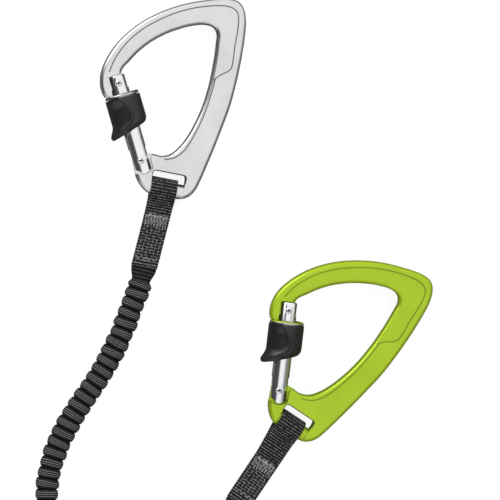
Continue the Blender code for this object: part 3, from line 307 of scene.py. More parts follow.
# %% Woven webbing
MATT = 0.15
CLOTH_ROUGHNESS = 0.78
SWAYS = (260.0, 2.0)
SWAY_REACH = 0.3
WARP_POWER = 0.8
WARP_LIFT = 0.22
RIB_POWER = 1.5
BETWEEN_WARP = 0.72
WEAR = (700.0, 3.0)
WEAR_RANGE = (0.25, 1.45)
WEAVE_STOPS = (0.25, 0.6, 0.92)
FUZZ = {"Sheen Weight": 0.1, "Sheen Roughness": 0.4}


def woven(name, dark, middle, light, rib, thread, depth):
    """Cloth with ribs across it, crossed by columns of warp thread."""
    finish = Finish(name, CLOTH_ROUGHNESS)
    laid = finish.split(finish.coordinates["UV"])
    across, along = laid["X"], laid["Y"]
    wander = finish.spread(finish.noise(*SWAYS), -SWAY_REACH, SWAY_REACH)
    row = finish.math("FLOOR", finish.math("DIVIDE", along, rib))
    shifted = finish.plus(across, finish.times(row, thread / 2))
    columns = finish.wave(shifted, 1.0 / thread, WARP_POWER)
    swayed = finish.plus(wander, finish.times(columns, rib * WARP_LIFT))
    ribs = finish.wave(finish.plus(along, swayed), 1.0 / rib, RIB_POWER)
    weave = finish.times(ribs, finish.spread(columns, BETWEEN_WARP, 1.0))
    # The colour follows the weave's height, painted shade low and painted highlight high, broken up at
    # random by the wear noise.
    worn = finish.times(weave, finish.spread(finish.noise(*WEAR), *WEAR_RANGE))
    stops = zip(WEAVE_STOPS, (dark, middle, light))
    finish.set("Base Color", finish.colours(worn, list(stops)))
    finish.set("Normal", finish.bump(weave, depth))
    finish.set("Specular IOR Level", MATT)
    for socket, value in FUZZ.items():
        finish.set(socket, value)
    return finish.material


WEBBING = woven("black_webbing", grey(17), grey(40), grey(134), 1.7, 1.4, 0.0002)
POUCH_CLOTH = woven("pouch_cloth", grey(24, 2), grey(36, 2), grey(58, 2), 0.9, 0.9, 0.00012)
print("woven finishes")

# %% [markdown]
# On the arms the weft shows as a few pale lines on the crest of each gather. The creases
# between gathers are painted near black as shade, and the plain ribs at the ends are painted
# dark in their hollows and paler on their crests, as shade and highlight. The tube carries a
# second UV map for this: its V counts gathers, with creases at whole numbers, and its U is 0
# at the plain ends.

# %% Cloth of the gathered arms
PLAIN_RIB = 2.1
CREST_EDGES = (0.28, 0.62)
ARM_ROUGHNESS = 0.8
CREST_SWAYS = (170.0, 2.0)
CREST_SWAY = 0.07
WEFT_POWER = 7.0
BREAKS = (900.0, 2.0)
BREAK_RANGE = (0.35, 1.3)
CREST_COVER = 0.7
GROUND_STOPS = (0.08, 0.7, 1.0)
WEFT_DEPTH = 0.00025


def gathered(name, dark, cloth, worn, pale, lines):
    finish = Finish(name, ARM_ROUGHNESS)
    counted = finish.node("UVMap", {})
    counted.uv_map = "gathers"
    gathers = finish.split(counted.outputs["UV"])
    wander = finish.spread(finish.noise(*CREST_SWAYS), -CREST_SWAY, CREST_SWAY)
    gather = finish.plus(gathers["Y"], wander)
    on_crest = finish.ease(finish.wave(gather, 1.0), *CREST_EDGES)
    open_cloth = finish.times(on_crest, gathers["X"])
    threads = finish.wave(gather, lines, WEFT_POWER)
    broken = finish.spread(finish.noise(*BREAKS), *BREAK_RANGE)
    shown = finish.times(finish.times(threads, broken), open_cloth)
    laid = finish.split(finish.coordinates["UV"])
    plain_ribs = finish.wave(laid["Y"], 1.0 / PLAIN_RIB, 2.0)
    plain = finish.times(plain_ribs, finish.spread(gathers["X"], 1.0, 0.0))
    covered = finish.math("MAXIMUM", finish.times(open_cloth, CREST_COVER), plain)
    # Painted light and shade: near black in the creases and the plain ribs' hollows, palest on the
    # plain ribs' crests.
    ground = finish.colours(covered, list(zip(GROUND_STOPS, (dark, cloth, worn))))
    mix = finish.node("Mix", {})
    mix.data_type = "RGBA"
    for socket, value in (("Factor", shown), ("A", ground), ("B", (*pale, 1.0))):
        finish.feed(mix.inputs[socket], value)
    finish.set("Base Color", mix.outputs["Result"])
    finish.set("Normal", finish.bump(threads, WEFT_DEPTH))
    finish.set("Specular IOR Level", MATT)
    return finish.material


ARM_CLOTH = gathered("arm_cloth", grey(12), grey(31), grey(66), grey(148), 5.0)
print("arm finish")

# %% Sewing thread
THREAD_ROUGHNESS = 0.6
TWIST = (900.0, 2.0)
TWIST_DEPTH = 0.0001
THREAD_GLOSS = 0.3


def thread_finish(name, dark, light):
    finish = Finish(name, THREAD_ROUGHNESS)
    twist = finish.noise(*TWIST)
    finish.set("Base Color", finish.blend(twist, dark, light))
    finish.set("Normal", finish.bump(twist, TWIST_DEPTH, 0.6))
    finish.set("Specular IOR Level", THREAD_GLOSS)
    return finish.material


THREAD = thread_finish("grey_thread", grey(62), grey(190))
PIPING = thread_finish("pouch_piping", grey(20, 2), grey(44, 2))
print("thread finish")

# %% [markdown]
# ## The two arms' cords
#
# An arm is a tube of webbing drawn in over rubber cores, so it gathers into ribs. Its
# line follows the photo as far as it is seen. The rest is put away as for storage: three
# runs through a rubber tie, with a round loop at each end, and then on to the absorber.
# The route's points are the engineering model's own, in metres.

# %% Routes of the arms
TABLE_SHIFT = Vector((-0.009664, 0.219914, 0.000002))
FLAT = 0.0046
ON_TIE = 0.0060
RUN_SPACING = 17.0 * MM
FOLD_RADIUS = 22.0 * MM
FOLD_STEPS = 11
TIE_WIDTH = 16.0 * MM
SILVER_TO_HANK = (
    (-0.0708, -0.0345), (-0.0762, -0.0488), (-0.0830, -0.0631), (-0.0913, -0.0774),
    (-0.1009, -0.0916), (-0.1095, -0.1059), (-0.1160, -0.1202), (-0.1202, -0.1357),
    (-0.1212, -0.1480), (-0.1212, -0.1600), (-0.1212, -0.1720), (-0.1181, -0.1831),
    (-0.1096, -0.1910), (-0.1011, -0.1992), (-0.0980, -0.2103), (-0.0958, -0.2223),
    (-0.0910, -0.2320),
)
SILVER_HANK = ((-0.0700, -0.2500), 1)
SILVER_FROM_HANK = (
    (-0.0492, -0.2680), (-0.0433, -0.2785), (-0.0405, -0.2900), (-0.0368, -0.3047),
    (-0.0266, -0.3159), (-0.0162, -0.3273), (-0.0125, -0.3420), (-0.0125, -0.3547),
)
LIME_TO_HANK = (
    (-0.0185, -0.1716), (-0.0180, -0.1828), (-0.0128, -0.1928), (-0.0039, -0.1997),
    (0.0071, -0.2021), (0.0300, -0.2020), (0.0540, -0.2020), (0.0780, -0.2020),
    (0.0990, -0.2020), (0.1160, -0.2090), (0.1230, -0.2260), (0.1160, -0.2430),
    (0.0990, -0.2500), (0.0880, -0.2497), (0.0780, -0.2497), (0.0680, -0.2525),
    (0.0600, -0.2605),
)
LIME_HANK = ((0.0400, -0.2790), -1)
LIME_FROM_HANK = (
    (0.0185, -0.2980), (0.0122, -0.3105), (0.0080, -0.3240), (0.0052, -0.3370),
    (0.0045, -0.3547),
)


def hank_points(centre, side):
    """Down, up and down again through a hank's tie, with a round loop below and above."""
    x, waist = centre
    half_tie = TIE_WIDTH / 2
    spread = FOLD_RADIUS + RUN_SPACING / 2
    neck = math.sqrt((2 * FOLD_RADIUS) ** 2 - spread**2)
    lean = math.acos(spread / (2 * FOLD_RADIUS))
    bend = FOLD_RADIUS * (1 - math.cos(lean / 2))
    points = []
    for run, down in ((-1, 1), (0, -1), (1, 1)):
        across = x + side * run * RUN_SPACING
        points += [(across, waist + down * level, ON_TIE) for level in (half_tie, 0, -half_tie)]
        if run == 1:
            break
        middle = across + side * RUN_SPACING / 2
        below = waist - down * (half_tie + FOLD_RADIUS * math.sin(lean / 2))
        height = waist - down * (half_tie + neck)
        points.append((across - side * bend, below, FLAT))
        for step in range(FOLD_STEPS + 1):
            angle = math.pi - lean + (math.pi + 2 * lean) * step / FOLD_STEPS
            loop_x = middle + side * FOLD_RADIUS * math.cos(angle)
            points.append((loop_x, height + down * FOLD_RADIUS * math.sin(angle), FLAT))
        points.append((across + side * (RUN_SPACING + bend), below, FLAT))
    return points


print("routes ready")

# %% [markdown]
# How each carabiner lies decides where its webbing and its arm begin. These values are
# the engineering model's: the place of the bar that the webbing goes round, the turn of
# the long axis, and how the sewn webbing runs off it.

# %% How the carabiners lie
PLATE_WIDTH = 80.6 * MM
PLATE_LENGTH = 123.2 * MM
PLATE_THICKNESS = 10.4 * MM
ROLL = math.radians(5.7455)
BAR_HEIGHT = 7.856 * MM
EYE_RADIUS = 4.95 * MM
EYE_ANGLE = math.radians(60.0)
WEBBING_WIDTH = 15.6 * MM
WEBBING_THICKNESS = 1.6 * MM
STITCH_GAP = 0.2 * MM
SEAT_GAP = 0.3 * MM
LEVEL_SHARE = 0.8
ARM_WIDTH = 13.0 * MM
ARM_THICKNESS = 9.0 * MM
LIES = {
    "silver": {
        "place": Vector((-49.8 * MM, 36.0 * MM)),
        "tilt": math.radians(10.9),
        "lean": math.radians(3.5),
        "shift": -1.8 * MM,
        "sewn": 48.0 * MM,
        "under": -0.2 * MM,
        "upper_tack": (16.0 * MM, 23.6 * MM),
        "lower_tack": (40.6 * MM, 43.4 * MM),
        "to_hank": SILVER_TO_HANK,
        "hank": SILVER_HANK,
        "from_hank": SILVER_FROM_HANK,
    },
    "lime": {
        "place": Vector((24.5 * MM, -104.8 * MM)),
        "tilt": math.radians(33.7),
        "lean": 0.0,
        "shift": -0.9 * MM,
        "sewn": 56.0 * MM,
        "under": -1.3 * MM,
        "upper_tack": (25.8 * MM, 32.6 * MM),
        "lower_tack": (47.4 * MM, 50.2 * MM),
        "to_hank": LIME_TO_HANK,
        "hank": LIME_HANK,
        "from_hank": LIME_FROM_HANK,
    },
}


def smooth_step(value, low, high):
    share = min(max((value - low) / (high - low), 0.0), 1.0)
    return share * share * (3 - 2 * share)


def place_on_eye(lies, along, above, across):
    """A point of a sewn eye, in its frame: level on the table far out, rolled at the bar."""
    clear = EYE_RADIUS + WEBBING_THICKNESS
    level = smooth_step(along, clear, lies["sewn"] * LEVEL_SHARE)
    roll = ROLL * (1 - level)
    aside = across + lies["shift"] - math.tan(lies["lean"]) * max(0.0, along - clear)
    x = aside * math.cos(roll) + above * math.sin(roll)
    z = above * math.cos(roll) - aside * math.sin(roll) - (BAR_HEIGHT - FLAT) * level
    return Vector((x, -along, z))


def eye_frame(lies):
    x, y = lies["place"]
    place = Vector((x, y, BAR_HEIGHT)) + TABLE_SHIFT
    return Matrix.Translation(place) @ Matrix.Rotation(-lies["tilt"], 4, "Z")


def swing_frame(lies):
    return eye_frame(lies) @ Matrix.Rotation(ROLL, 4, "Y")


print("frames ready")

# %% [markdown]
# A smooth curve through the route's points is read at even steps, which keeps every rib
# the same length. The arm itself starts as a flat grid, one side of which goes round the
# arm and the other along it. Moving the grid's points onto the curve makes the tube, and
# its UV map comes along, in millimetres.

# %% Smooth paths
CURVE_STEPS = 24


def smooth_path(points, count):
    """Evenly spaced points on a smooth curve through the given ones, and its length."""
    places = np.array(points, float)
    padded = np.vstack([2 * places[0] - places[1], places, 2 * places[-1] - places[-2]])
    fine = []
    for index in range(1, len(padded) - 2):
        a, b, c, d = padded[index - 1 : index + 3]
        for t in np.linspace(0, 1, CURVE_STEPS, endpoint=False):
            cubic = (3 * b - a - 3 * c + d) * t**3
            square = (2 * a - 5 * b + 4 * c - d) * t**2
            fine.append(0.5 * (2 * b + (c - a) * t + square + cubic))
    fine = np.array([*fine, places[-1]])
    lengths = np.concatenate([[0], np.cumsum(np.linalg.norm(np.diff(fine, axis=0), axis=1))])
    wanted = np.linspace(0, lengths[-1], count + 1)
    spaced = np.column_stack([np.interp(wanted, lengths, fine[:, k]) for k in range(3)])
    return spaced, lengths[-1]


def arm_route(lies):
    """The arm's own points from its sewn eye to the absorber, where the model stands."""
    right = Vector((math.cos(lies["tilt"]), -math.sin(lies["tilt"])))
    down = Vector((-math.sin(lies["tilt"]), -math.cos(lies["tilt"])))
    across, along, _ = place_on_eye(lies, lies["sewn"], 0, 0)
    end = lies["place"] + right * across - down * along
    heading = (down - right * math.tan(lies["lean"])).normalized()
    start = end + heading * (SEAT_GAP + ARM_WIDTH / 2 * math.tan(lies["lean"]))
    straight = end + heading * ARM_WIDTH
    points = [(start.x, start.y, FLAT), (straight.x, straight.y, FLAT)]
    points += [(x, y, FLAT) for x, y in lies["to_hank"]]
    points += hank_points(*lies["hank"])
    points += [(x, y, FLAT) for x, y in lies["from_hank"]]
    return [Vector(point) + TABLE_SHIFT for point in points]


print("paths ready")

# %% Meshes from grids


def grid_mesh(columns, rows, width, length, place, gather_at=None):
    """A grid whose points place(across, along) moves, with a UV map in millimetres.

    across and along run from 0 to 1, and width and length are the cloth's own.
    gather_at(across, along) gives a second UV map."""
    bm = bmesh.new()
    uv = bm.loops.layers.uv.new("UVMap")
    if gather_at:
        gathers = bm.loops.layers.uv.new("gathers")
    bmesh.ops.create_grid(bm, x_segments=columns, y_segments=rows, size=0.5)
    shares = {vert.index: (vert.co.x + 0.5, vert.co.y + 0.5) for vert in bm.verts}
    for face in bm.faces:
        for loop in face.loops:
            across, along = shares[loop.vert.index]
            loop[uv].uv = (across * width / MM, along * length / MM)
            if gather_at:
                loop[gathers].uv = gather_at(across, along)
    for vert in bm.verts:
        vert.co = place(*shares[vert.index])
    return bm


def plain_mesh(bm, name):
    mesh = bpy.data.meshes.new(name)
    bm.to_mesh(mesh)
    bm.free()
    return mesh


def shade(mesh, smooth_angle):
    """Smooth shading that keeps an edge sharp where its faces turn by more than an angle."""
    mesh.shade_smooth()
    mesh.set_sharp_from_angle(angle=math.radians(smooth_angle))
    return mesh


def to_mesh(bm, name, smooth_angle=40.0):
    return shade(plain_mesh(bm, name), smooth_angle)


def close_ends(bm):
    open_edges = [edge for edge in bm.edges if edge.is_boundary]
    bmesh.ops.holes_fill(bm, edges=open_edges, sides=0)
    bmesh.ops.recalc_face_normals(bm, faces=bm.faces)


print("mesh helpers ready")

# %% [markdown]
# Every piece rides on one of the model's bodies and stands for the pieces of the model
# that it replaces. Cloth gets its thickness and its soft edges from modifiers.

# %% Pieces and their edges


def add_piece(name, mesh, materials, body, replaced, slot):
    """A finished piece that rides on a body and stands for some nodes."""
    piece = object_from(name, mesh)
    for material in materials:
        mesh.materials.append(material)
    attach(piece, body)
    if replaced:
        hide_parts(*replaced)
    return piece


def thicken(piece, thickness, offset=0.0):
    """Give a skin a wall, which lies to both sides of it or, with offset -1, inside it."""
    wall = piece.modifiers.new("thickness", "SOLIDIFY")
    wall.thickness = thickness
    wall.offset = offset


def soften(piece, width, segments):
    """Round off the edges that are sharper than 30 degrees."""
    soft = piece.modifiers.new("soft_edges", "BEVEL")
    soft.width = width
    soft.segments = segments
    soft.limit_method = "ANGLE"


print("piece helpers ready")

# %% [markdown]
# Each rib swells to a flat crest and drops to a narrow crease. A share of a sine to a
# low power gives that profile. Real gathers differ a little, so every rib gets its own
# small change of width and slant from a seeded table of numbers. The first stretch lies
# loose and is a little wider than the rest, which the rubber tie draws together.

# %% Elastic arms
MEASURING = 400
RIB_PITCH = 6.3 * MM
WIDE_WAIST = 0.80
TALL_WAIST = 0.66
RIB_ROWS = 12
GROWTH = 0.04
SLANT = 0.12
ARM_SIDES = 24
FULLNESS = 0.85
PLAIN_END = 9.0 * MM
FLAT_WIDTH = 15.0 * MM
FLAT_THICKNESS = 2.6 * MM
SEWN_IN = 1.6 * MM
GATHERED = (PLAIN_END * 0.75, PLAIN_END * 1.15)
LOOSE = (160.0 * MM, 192.0 * MM)
LOOSE_SHARE = 0.09
SEAM = 0.01 * MM
ARM_SHARP = 80.0
CORD_STEP = 6
chance = np.random.default_rng(7)


def gather_swell(phase, waist):
    """The share of full width at a phase whose whole numbers are creases."""
    crest = abs(math.sin(math.pi * phase)) ** 0.5
    return waist + (1 - waist) * crest


def fuller(value):
    """A sine or cosine raised to a low power, which makes a round section squarer."""
    return abs(value) ** FULLNESS * math.copysign(1, value)


def make_arm(name):
    lies = LIES[name]
    route = arm_route(lies)
    _, length = smooth_path(route, MEASURING)
    ribs = round(length / RIB_PITCH)
    rows = ribs * RIB_ROWS
    path, length = smooth_path(route, rows)
    spacing = length / rows
    tangents = np.gradient(path, axis=0)
    tangents /= np.linalg.norm(tangents, axis=1)[:, None]
    growth = 1 + chance.uniform(-GROWTH, GROWTH, ribs + 2)
    slant = chance.uniform(-SLANT, SLANT, ribs + 2)

    def gather_at(across, along):
        """How gathered the tube is at a point, and its count of gathers there."""
        row = round(along * rows)
        to_end = min(row, rows - row) * spacing
        drawn = slant[row // RIB_ROWS] * math.sin(math.pi * (row % RIB_ROWS) / RIB_ROWS)
        count = row / RIB_ROWS + drawn * math.cos(2 * math.pi * across)
        return smooth_step(to_end, *GATHERED), count

    def place(across, along):
        row = round(along * rows)
        angle = 2 * math.pi * across
        from_eye, to_end = row * spacing, min(row, rows - row) * spacing
        gathered_share, phase = gather_at(across, along)
        grown = growth[row // RIB_ROWS]
        loose = 1 + LOOSE_SHARE * (1 - smooth_step(from_eye, *LOOSE))
        wide = ARM_WIDTH * grown * loose * gather_swell(phase, WIDE_WAIST)
        tall = ARM_THICKNESS * grown * gather_swell(phase, TALL_WAIST)
        filled = smooth_step(to_end, 0, PLAIN_END)
        plain_wide = FLAT_WIDTH + (ARM_WIDTH * WIDE_WAIST - FLAT_WIDTH) * filled
        plain_tall = FLAT_THICKNESS + (ARM_THICKNESS * TALL_WAIST - FLAT_THICKNESS) * filled
        wide = plain_wide + (wide - plain_wide) * gathered_share
        tall = plain_tall + (tall - plain_tall) * gathered_share
        tangent = Vector(tangents[row])
        side = tangent.cross(Vector((0, 0, 1))).normalized()
        up = side.cross(tangent)
        middle = Vector(path[row])
        if row in (0, rows):
            middle += tangent * (SEWN_IN if row else -SEWN_IN)
        flat, high = fuller(math.cos(angle)), fuller(math.sin(angle))
        return middle + side * flat * wide / 2 + up * high * tall / 2

    around = math.pi * (ARM_WIDTH + ARM_THICKNESS) / 2
    bm = grid_mesh(ARM_SIDES, rows, around, length, place, gather_at)
    bmesh.ops.remove_doubles(bm, verts=bm.verts, dist=SEAM)
    close_ends(bm)
    arm = add_piece(
        f"{name}_ribbed_arm",
        to_mesh(bm, f"{name}_ribbed_arm", smooth_angle=ARM_SHARP),
        [ARM_CLOTH],
        "lanyard",
        [f"{name}_elastic_arm", f"{name}_elastic_arm_hank"],
        "black_webbing",
    )
    print(f"{name} arm: {length:.4f} m, {ribs} ribs, {len(arm.data.polygons)} faces")
    return arm, path[::CORD_STEP], length


arms = {name: make_arm(name) for name in LIES}

# %% [markdown]
# ## The carabiner's body
#
# The body is one forged plate. A filled curve with a bevel gives the plate and its
# rounded rim in one go, and the same cuts as in the workshop follow: the slot, the bar's
# groove, the recesses for the gate at the heel and at the nose.

# %% Outline of the plate
BAR_SHARES = (0.639, 0.0377)
HINGE_SHARES = (0.4132, 0.151)
LATCH_SHARES = (0.1427, 0.4959)
OUTER_SHARES = (
    (0.386, 0.092), (0.402, 0.068), (0.441, 0.036), (0.490, 0.0115), (0.546, 0.0015),
    (0.639, 0.0), (0.748, 0.004), (0.800, 0.0195), (0.841, 0.051), (0.871, 0.109),
    (0.898, 0.186), (0.929, 0.283), (0.959, 0.389), (0.983, 0.486), (0.995, 0.584),
    (1.0, 0.681), (0.999, 0.762), (0.993, 0.843), (0.979, 0.912), (0.949, 0.9635),
    (0.906, 0.992), (0.844, 1.0), (0.763, 0.991), (0.651, 0.969), (0.552, 0.9455),
    (0.440, 0.910), (0.3226, 0.861), (0.217, 0.803), (0.1265, 0.7345), (0.061, 0.665),
    (0.021, 0.600), (0.0025, 0.543), (0.005, 0.494), (0.026, 0.450),
)
INNER_SHARES = (
    (0.1464, 0.5503), (0.192, 0.612), (0.269, 0.685), (0.372, 0.751), (0.490, 0.803),
    (0.614, 0.841), (0.695, 0.854), (0.753, 0.849), (0.7866, 0.824), (0.7965, 0.778),
    (0.805, 0.6485), (0.798, 0.535), (0.779, 0.4456), (0.748, 0.3645), (0.712, 0.2995),
    (0.670, 0.2475), (0.620, 0.2102), (0.558, 0.193), (0.502, 0.1935),
)
RING_DROP = 6.36 * MM
RING_RADIUS = 10.2 * MM
NOSE_REACH = 3.2 * MM
NOSE_LIP = 1.2 * MM
NOSE_FOOT_GAP = 0.4 * MM
LUG_RADIUS = 4.9 * MM
CAM_RISE = 0.7 * MM
CAM_START = 70.0
CAM_ARC = 144.0
CAM_STEPS = 6
GATE_OPENING = math.radians(26.0)


def plate_point(shares):
    """A point in the carabiner's frame from its shares of the plate's width and length."""
    across = (shares[0] - BAR_SHARES[0]) * PLATE_WIDTH
    along = (shares[1] - BAR_SHARES[1]) * PLATE_LENGTH
    return Vector((across, along))


HINGE = plate_point(HINGE_SHARES)
LATCH = plate_point(LATCH_SHARES)
GATE_LENGTH = (LATCH - HINGE).length
RING_TOP = GATE_LENGTH - RING_DROP
GATE_LEAN = math.atan2(HINGE.x - LATCH.x, LATCH.y - HINGE.y)
GATE_FRAME = Matrix.Translation((HINGE.x, HINGE.y, 0)) @ Matrix.Rotation(GATE_LEAN, 4, "Z")


def gate_to_plate(across, along):
    """A point of the gate's frame, in the carabiner's frame."""
    return (GATE_FRAME @ Vector((across, along, 0))).to_2d()


def nose_outline():
    foot = RING_TOP - NOSE_LIP * 2
    return [
        gate_to_plate(-RING_RADIUS, RING_TOP + 2 * NOSE_FOOT_GAP),
        gate_to_plate(-RING_RADIUS + NOSE_LIP, foot + NOSE_LIP),
        gate_to_plate(-RING_RADIUS + NOSE_REACH, foot),
        gate_to_plate(-NOSE_REACH, foot),
        gate_to_plate(NOSE_REACH / 2, foot + NOSE_LIP),
        gate_to_plate(NOSE_REACH, foot + 2 * NOSE_REACH),
        gate_to_plate(NOSE_REACH, GATE_LENGTH),
    ]


def heel_outline():
    """The lug round the hinge, which rises like a cam under the gate's plunger."""
    closed = math.pi / 2 + GATE_LEAN
    points = []
    for step in range(CAM_STEPS + 1):
        direction = math.radians(CAM_START + CAM_ARC * step / CAM_STEPS)
        opened = min(max((closed - direction) / GATE_OPENING, 0.0), 1.0)
        reach = LUG_RADIUS + CAM_RISE * opened
        points.append(HINGE + reach * Vector((math.cos(direction), math.sin(direction))))
    return points


print(f"gate {GATE_LENGTH / MM:.1f} mm from hinge to latch")

# %% Plate with its rounded rim
PLATE_ROUND = 2.3 * MM
ROUND_STEPS = 4
OUTLINE_STEPS = 6
WELD = 0.001 * MM


def baked(obj):
    """The mesh of an object with its modifiers, after which the object is removed."""
    graph = bpy.context.evaluated_depsgraph_get()
    mesh = bpy.data.meshes.new_from_object(obj.evaluated_get(graph))
    bpy.data.objects.remove(obj, do_unlink=True)
    return mesh


def weld(bm):
    bmesh.ops.remove_doubles(bm, verts=bm.verts, dist=WELD)
    bmesh.ops.recalc_face_normals(bm, faces=bm.faces)
    return bm


def welded(mesh):
    bm = bmesh.new()
    bm.from_mesh(mesh)
    return weld(bm)


def plate_blank():
    outline = [plate_point(shares) for shares in OUTER_SHARES] + nose_outline()
    outline += [plate_point(shares) for shares in INNER_SHARES] + heel_outline()
    curve = bpy.data.curves.new("plate", "CURVE")
    curve.dimensions = "2D"
    curve.fill_mode = "BOTH"
    curve.extrude = PLATE_THICKNESS / 2 - PLATE_ROUND
    curve.bevel_depth = PLATE_ROUND
    curve.bevel_resolution = ROUND_STEPS
    curve.offset = -PLATE_ROUND
    curve.resolution_u = OUTLINE_STEPS
    spline = curve.splines.new("BEZIER")
    spline.bezier_points.add(len(outline) - 1)
    for point, place in zip(spline.bezier_points, outline):
        point.co = (place.x, place.y, 0)
        point.handle_left_type = "AUTO"
        point.handle_right_type = "AUTO"
    spline.use_cyclic_u = True
    return plain_mesh(welded(baked(object_from("plate", curve))), "plate")


blank = plate_blank()
print(f"plate blank of {len(blank.polygons)} faces")

# %% [markdown]
# A boolean needs closed cutters. Prisms come from an outline that is extruded, and round
# cutters from a cone with two equal radii. Each cut is baked at once, so that no live
# boolean is left on the finished piece.

# %% Cutters
OVERRUN = 8.0 * MM


def prism(outline, low, high):
    bm = bmesh.new()
    face = bm.faces.new([bm.verts.new((x, y, low)) for x, y in outline])
    extruded = bmesh.ops.extrude_face_region(bm, geom=[face])
    lifted = [item for item in extruded["geom"] if isinstance(item, bmesh.types.BMVert)]
    bmesh.ops.translate(bm, verts=lifted, vec=(0, 0, high - low))
    bmesh.ops.recalc_face_normals(bm, faces=bm.faces)
    return bm


def bridged(first, last):
    """A closed solid between two outlines of as many points."""
    bm = bmesh.new()
    rims = [bm.faces.new([bm.verts.new(point) for point in outline]) for outline in (first, last)]
    edges = [edge for face in rims for edge in face.edges]
    bmesh.ops.bridge_loops(bm, edges=edges)
    bmesh.ops.recalc_face_normals(bm, faces=bm.faces)
    return bm


def cylinder(radius, low, high, steps):
    bm = bmesh.new()
    bmesh.ops.create_cone(
        bm, cap_ends=True, segments=steps, radius1=radius, radius2=radius, depth=high - low
    )
    bmesh.ops.translate(bm, verts=bm.verts, vec=(0, 0, (low + high) / 2))
    return bm


def block(low, high):
    bm = bmesh.new()
    bmesh.ops.create_cube(bm, size=1.0)
    bmesh.ops.scale(bm, verts=bm.verts, vec=Vector(high) - Vector(low))
    bmesh.ops.translate(bm, verts=bm.verts, vec=(Vector(high) + Vector(low)) / 2)
    return bm


def spun(profile, steps, closed=False):
    """A profile of radius and height, turned about the Y axis."""
    bm = bmesh.new()
    verts = [bm.verts.new((radius, height, 0)) for radius, height in profile]
    edges = [bm.edges.new(pair) for pair in zip(verts, verts[1:])]
    if closed:
        edges.append(bm.edges.new((verts[-1], verts[0])))
    bmesh.ops.spin(
        bm,
        geom=verts + edges,
        cent=(0, 0, 0),
        axis=(0, 1, 0),
        angle=2 * math.pi,
        steps=steps,
        use_merge=True,
    )
    return weld(bm)


def carve(mesh, cutters):
    """The mesh less its cutters, each a bmesh with the frame that it is placed by."""
    part = object_from("carved", mesh)
    helpers = []
    for bm, frame_matrix in cutters:
        cutter_mesh = plain_mesh(bm, "cutter")
        cutter_mesh.transform(frame_matrix)
        cutter = object_from("cutter", cutter_mesh)
        helpers.append(cutter)
        modifier = part.modifiers.new("cut", "BOOLEAN")
        modifier.operation = "DIFFERENCE"
        modifier.object = cutter
    bpy.context.view_layer.update()
    result = baked(part)
    result.materials.clear()
    for cutter in helpers:
        bpy.data.objects.remove(cutter, do_unlink=True)
    return result


print("cutters ready")

# %% Cut the plate
TONGUE = 4.4 * MM
BAR_RADIUS = 4.5 * MM
SLOT_WIDTH = 19.8 * MM
SLOT_HEIGHT = 5.4 * MM
SLOT_CORNER = 1.6 * MM
SLOT_CHAMFER = 0.55 * MM
GROOVE_DEPTH = 4.0 * MM
HEEL_RELIEF = 8.5 * MM
RELIEF_GAP = 0.45 * MM
RELIEF_STEPS = 120
SWEEP_STEPS = 14
SLOT_STEPS = 6
BAR_STEPS = 48
GATE_RADIUS = 5.3 * MM
GATE_FOOT = 7.9 * MM
NOSE_SIDE = 5.7 * MM
NOSE_GAP = 0.25 * MM
NOSE_MARGIN = 6.0 * MM
NOSE_STEP = 0.5 * MM
NOSE_RAMP = (6.4 * MM, 9.1 * MM)
GATE_TIP = 5.0 * MM
TIP_GAP = 0.5 * MM
PIN_RADIUS = 1.1 * MM
PIN_STEPS = 32
HOOK_NOTCH = 1.5 * MM
HOOK_LENGTH = 2.7 * MM


def rounded_rectangle(width, height, corner, middle, steps):
    points = []
    for quarter, (side, end) in enumerate(((1, 1), (-1, 1), (-1, -1), (1, -1))):
        for step in range(steps + 1):
            angle = math.pi / 2 * (quarter + step / steps)
            x = side * (width / 2 - corner) + corner * math.cos(angle)
            y = end * (height / 2 - corner) + corner * math.sin(angle)
            points.append((middle[0] + x, middle[1] + y))
    return points


def distance_to(wall, facing):
    """How far off a wall is along a direction, of which a share faces the wall."""
    return wall / max(abs(facing), 0.01)


def heel_relief():
    """The recess that the gate's foot sweeps as it opens, with a narrow gap round it."""
    outline = []
    for step in range(RELIEF_STEPS):
        direction = 2 * math.pi * step / RELIEF_STEPS
        reach = 0.0
        for share in np.linspace(0, 1, SWEEP_STEPS):
            turned = direction + GATE_OPENING * share
            side = distance_to(GATE_RADIUS, math.cos(turned))
            end = GATE_FOOT if math.sin(turned) < 0 else HEEL_RELIEF
            reach = max(reach, min(side, distance_to(end, math.sin(turned))))
        reach = min(reach + RELIEF_GAP, HEEL_RELIEF)
        outline.append((reach * math.cos(direction), reach * math.sin(direction)))
    return outline


def slot_cutters():
    """The slot with its chamfered rims, and the groove that rounds its bar."""
    half = PLATE_THICKNESS / 2 + OVERRUN
    here = Matrix.Identity(4)
    middle = (0, BAR_RADIUS + SLOT_HEIGHT / 2 + SEAT_GAP / 2)

    def outline(grow):
        width, height = SLOT_WIDTH + 2 * grow, SLOT_HEIGHT - SEAT_GAP + 2 * grow
        return rounded_rectangle(width, height, SLOT_CORNER + grow, middle, SLOT_STEPS)

    groove_half = (SLOT_WIDTH + SEAT_GAP) / 2
    deep = BAR_RADIUS + GROOVE_DEPTH
    groove = [(deep, groove_half), (deep, -groove_half)]
    groove += [(BAR_RADIUS, -groove_half), (BAR_RADIUS, groove_half)]
    across = Matrix.Rotation(math.pi / 2, 4, "Z")
    cutters = [(prism(outline(0), -half, half), here)]
    cutters.append((spun(groove, BAR_STEPS, closed=True), across))
    for side in (1, -1):
        rims = []
        for grow, height in ((0, -SLOT_CHAMFER), (2 * SLOT_CHAMFER, SLOT_CHAMFER)):
            level = side * (PLATE_THICKNESS / 2 + height)
            rims.append([(x, y, level) for x, y in outline(grow)])
        cutters.append((bridged(*rims), here))
    return cutters


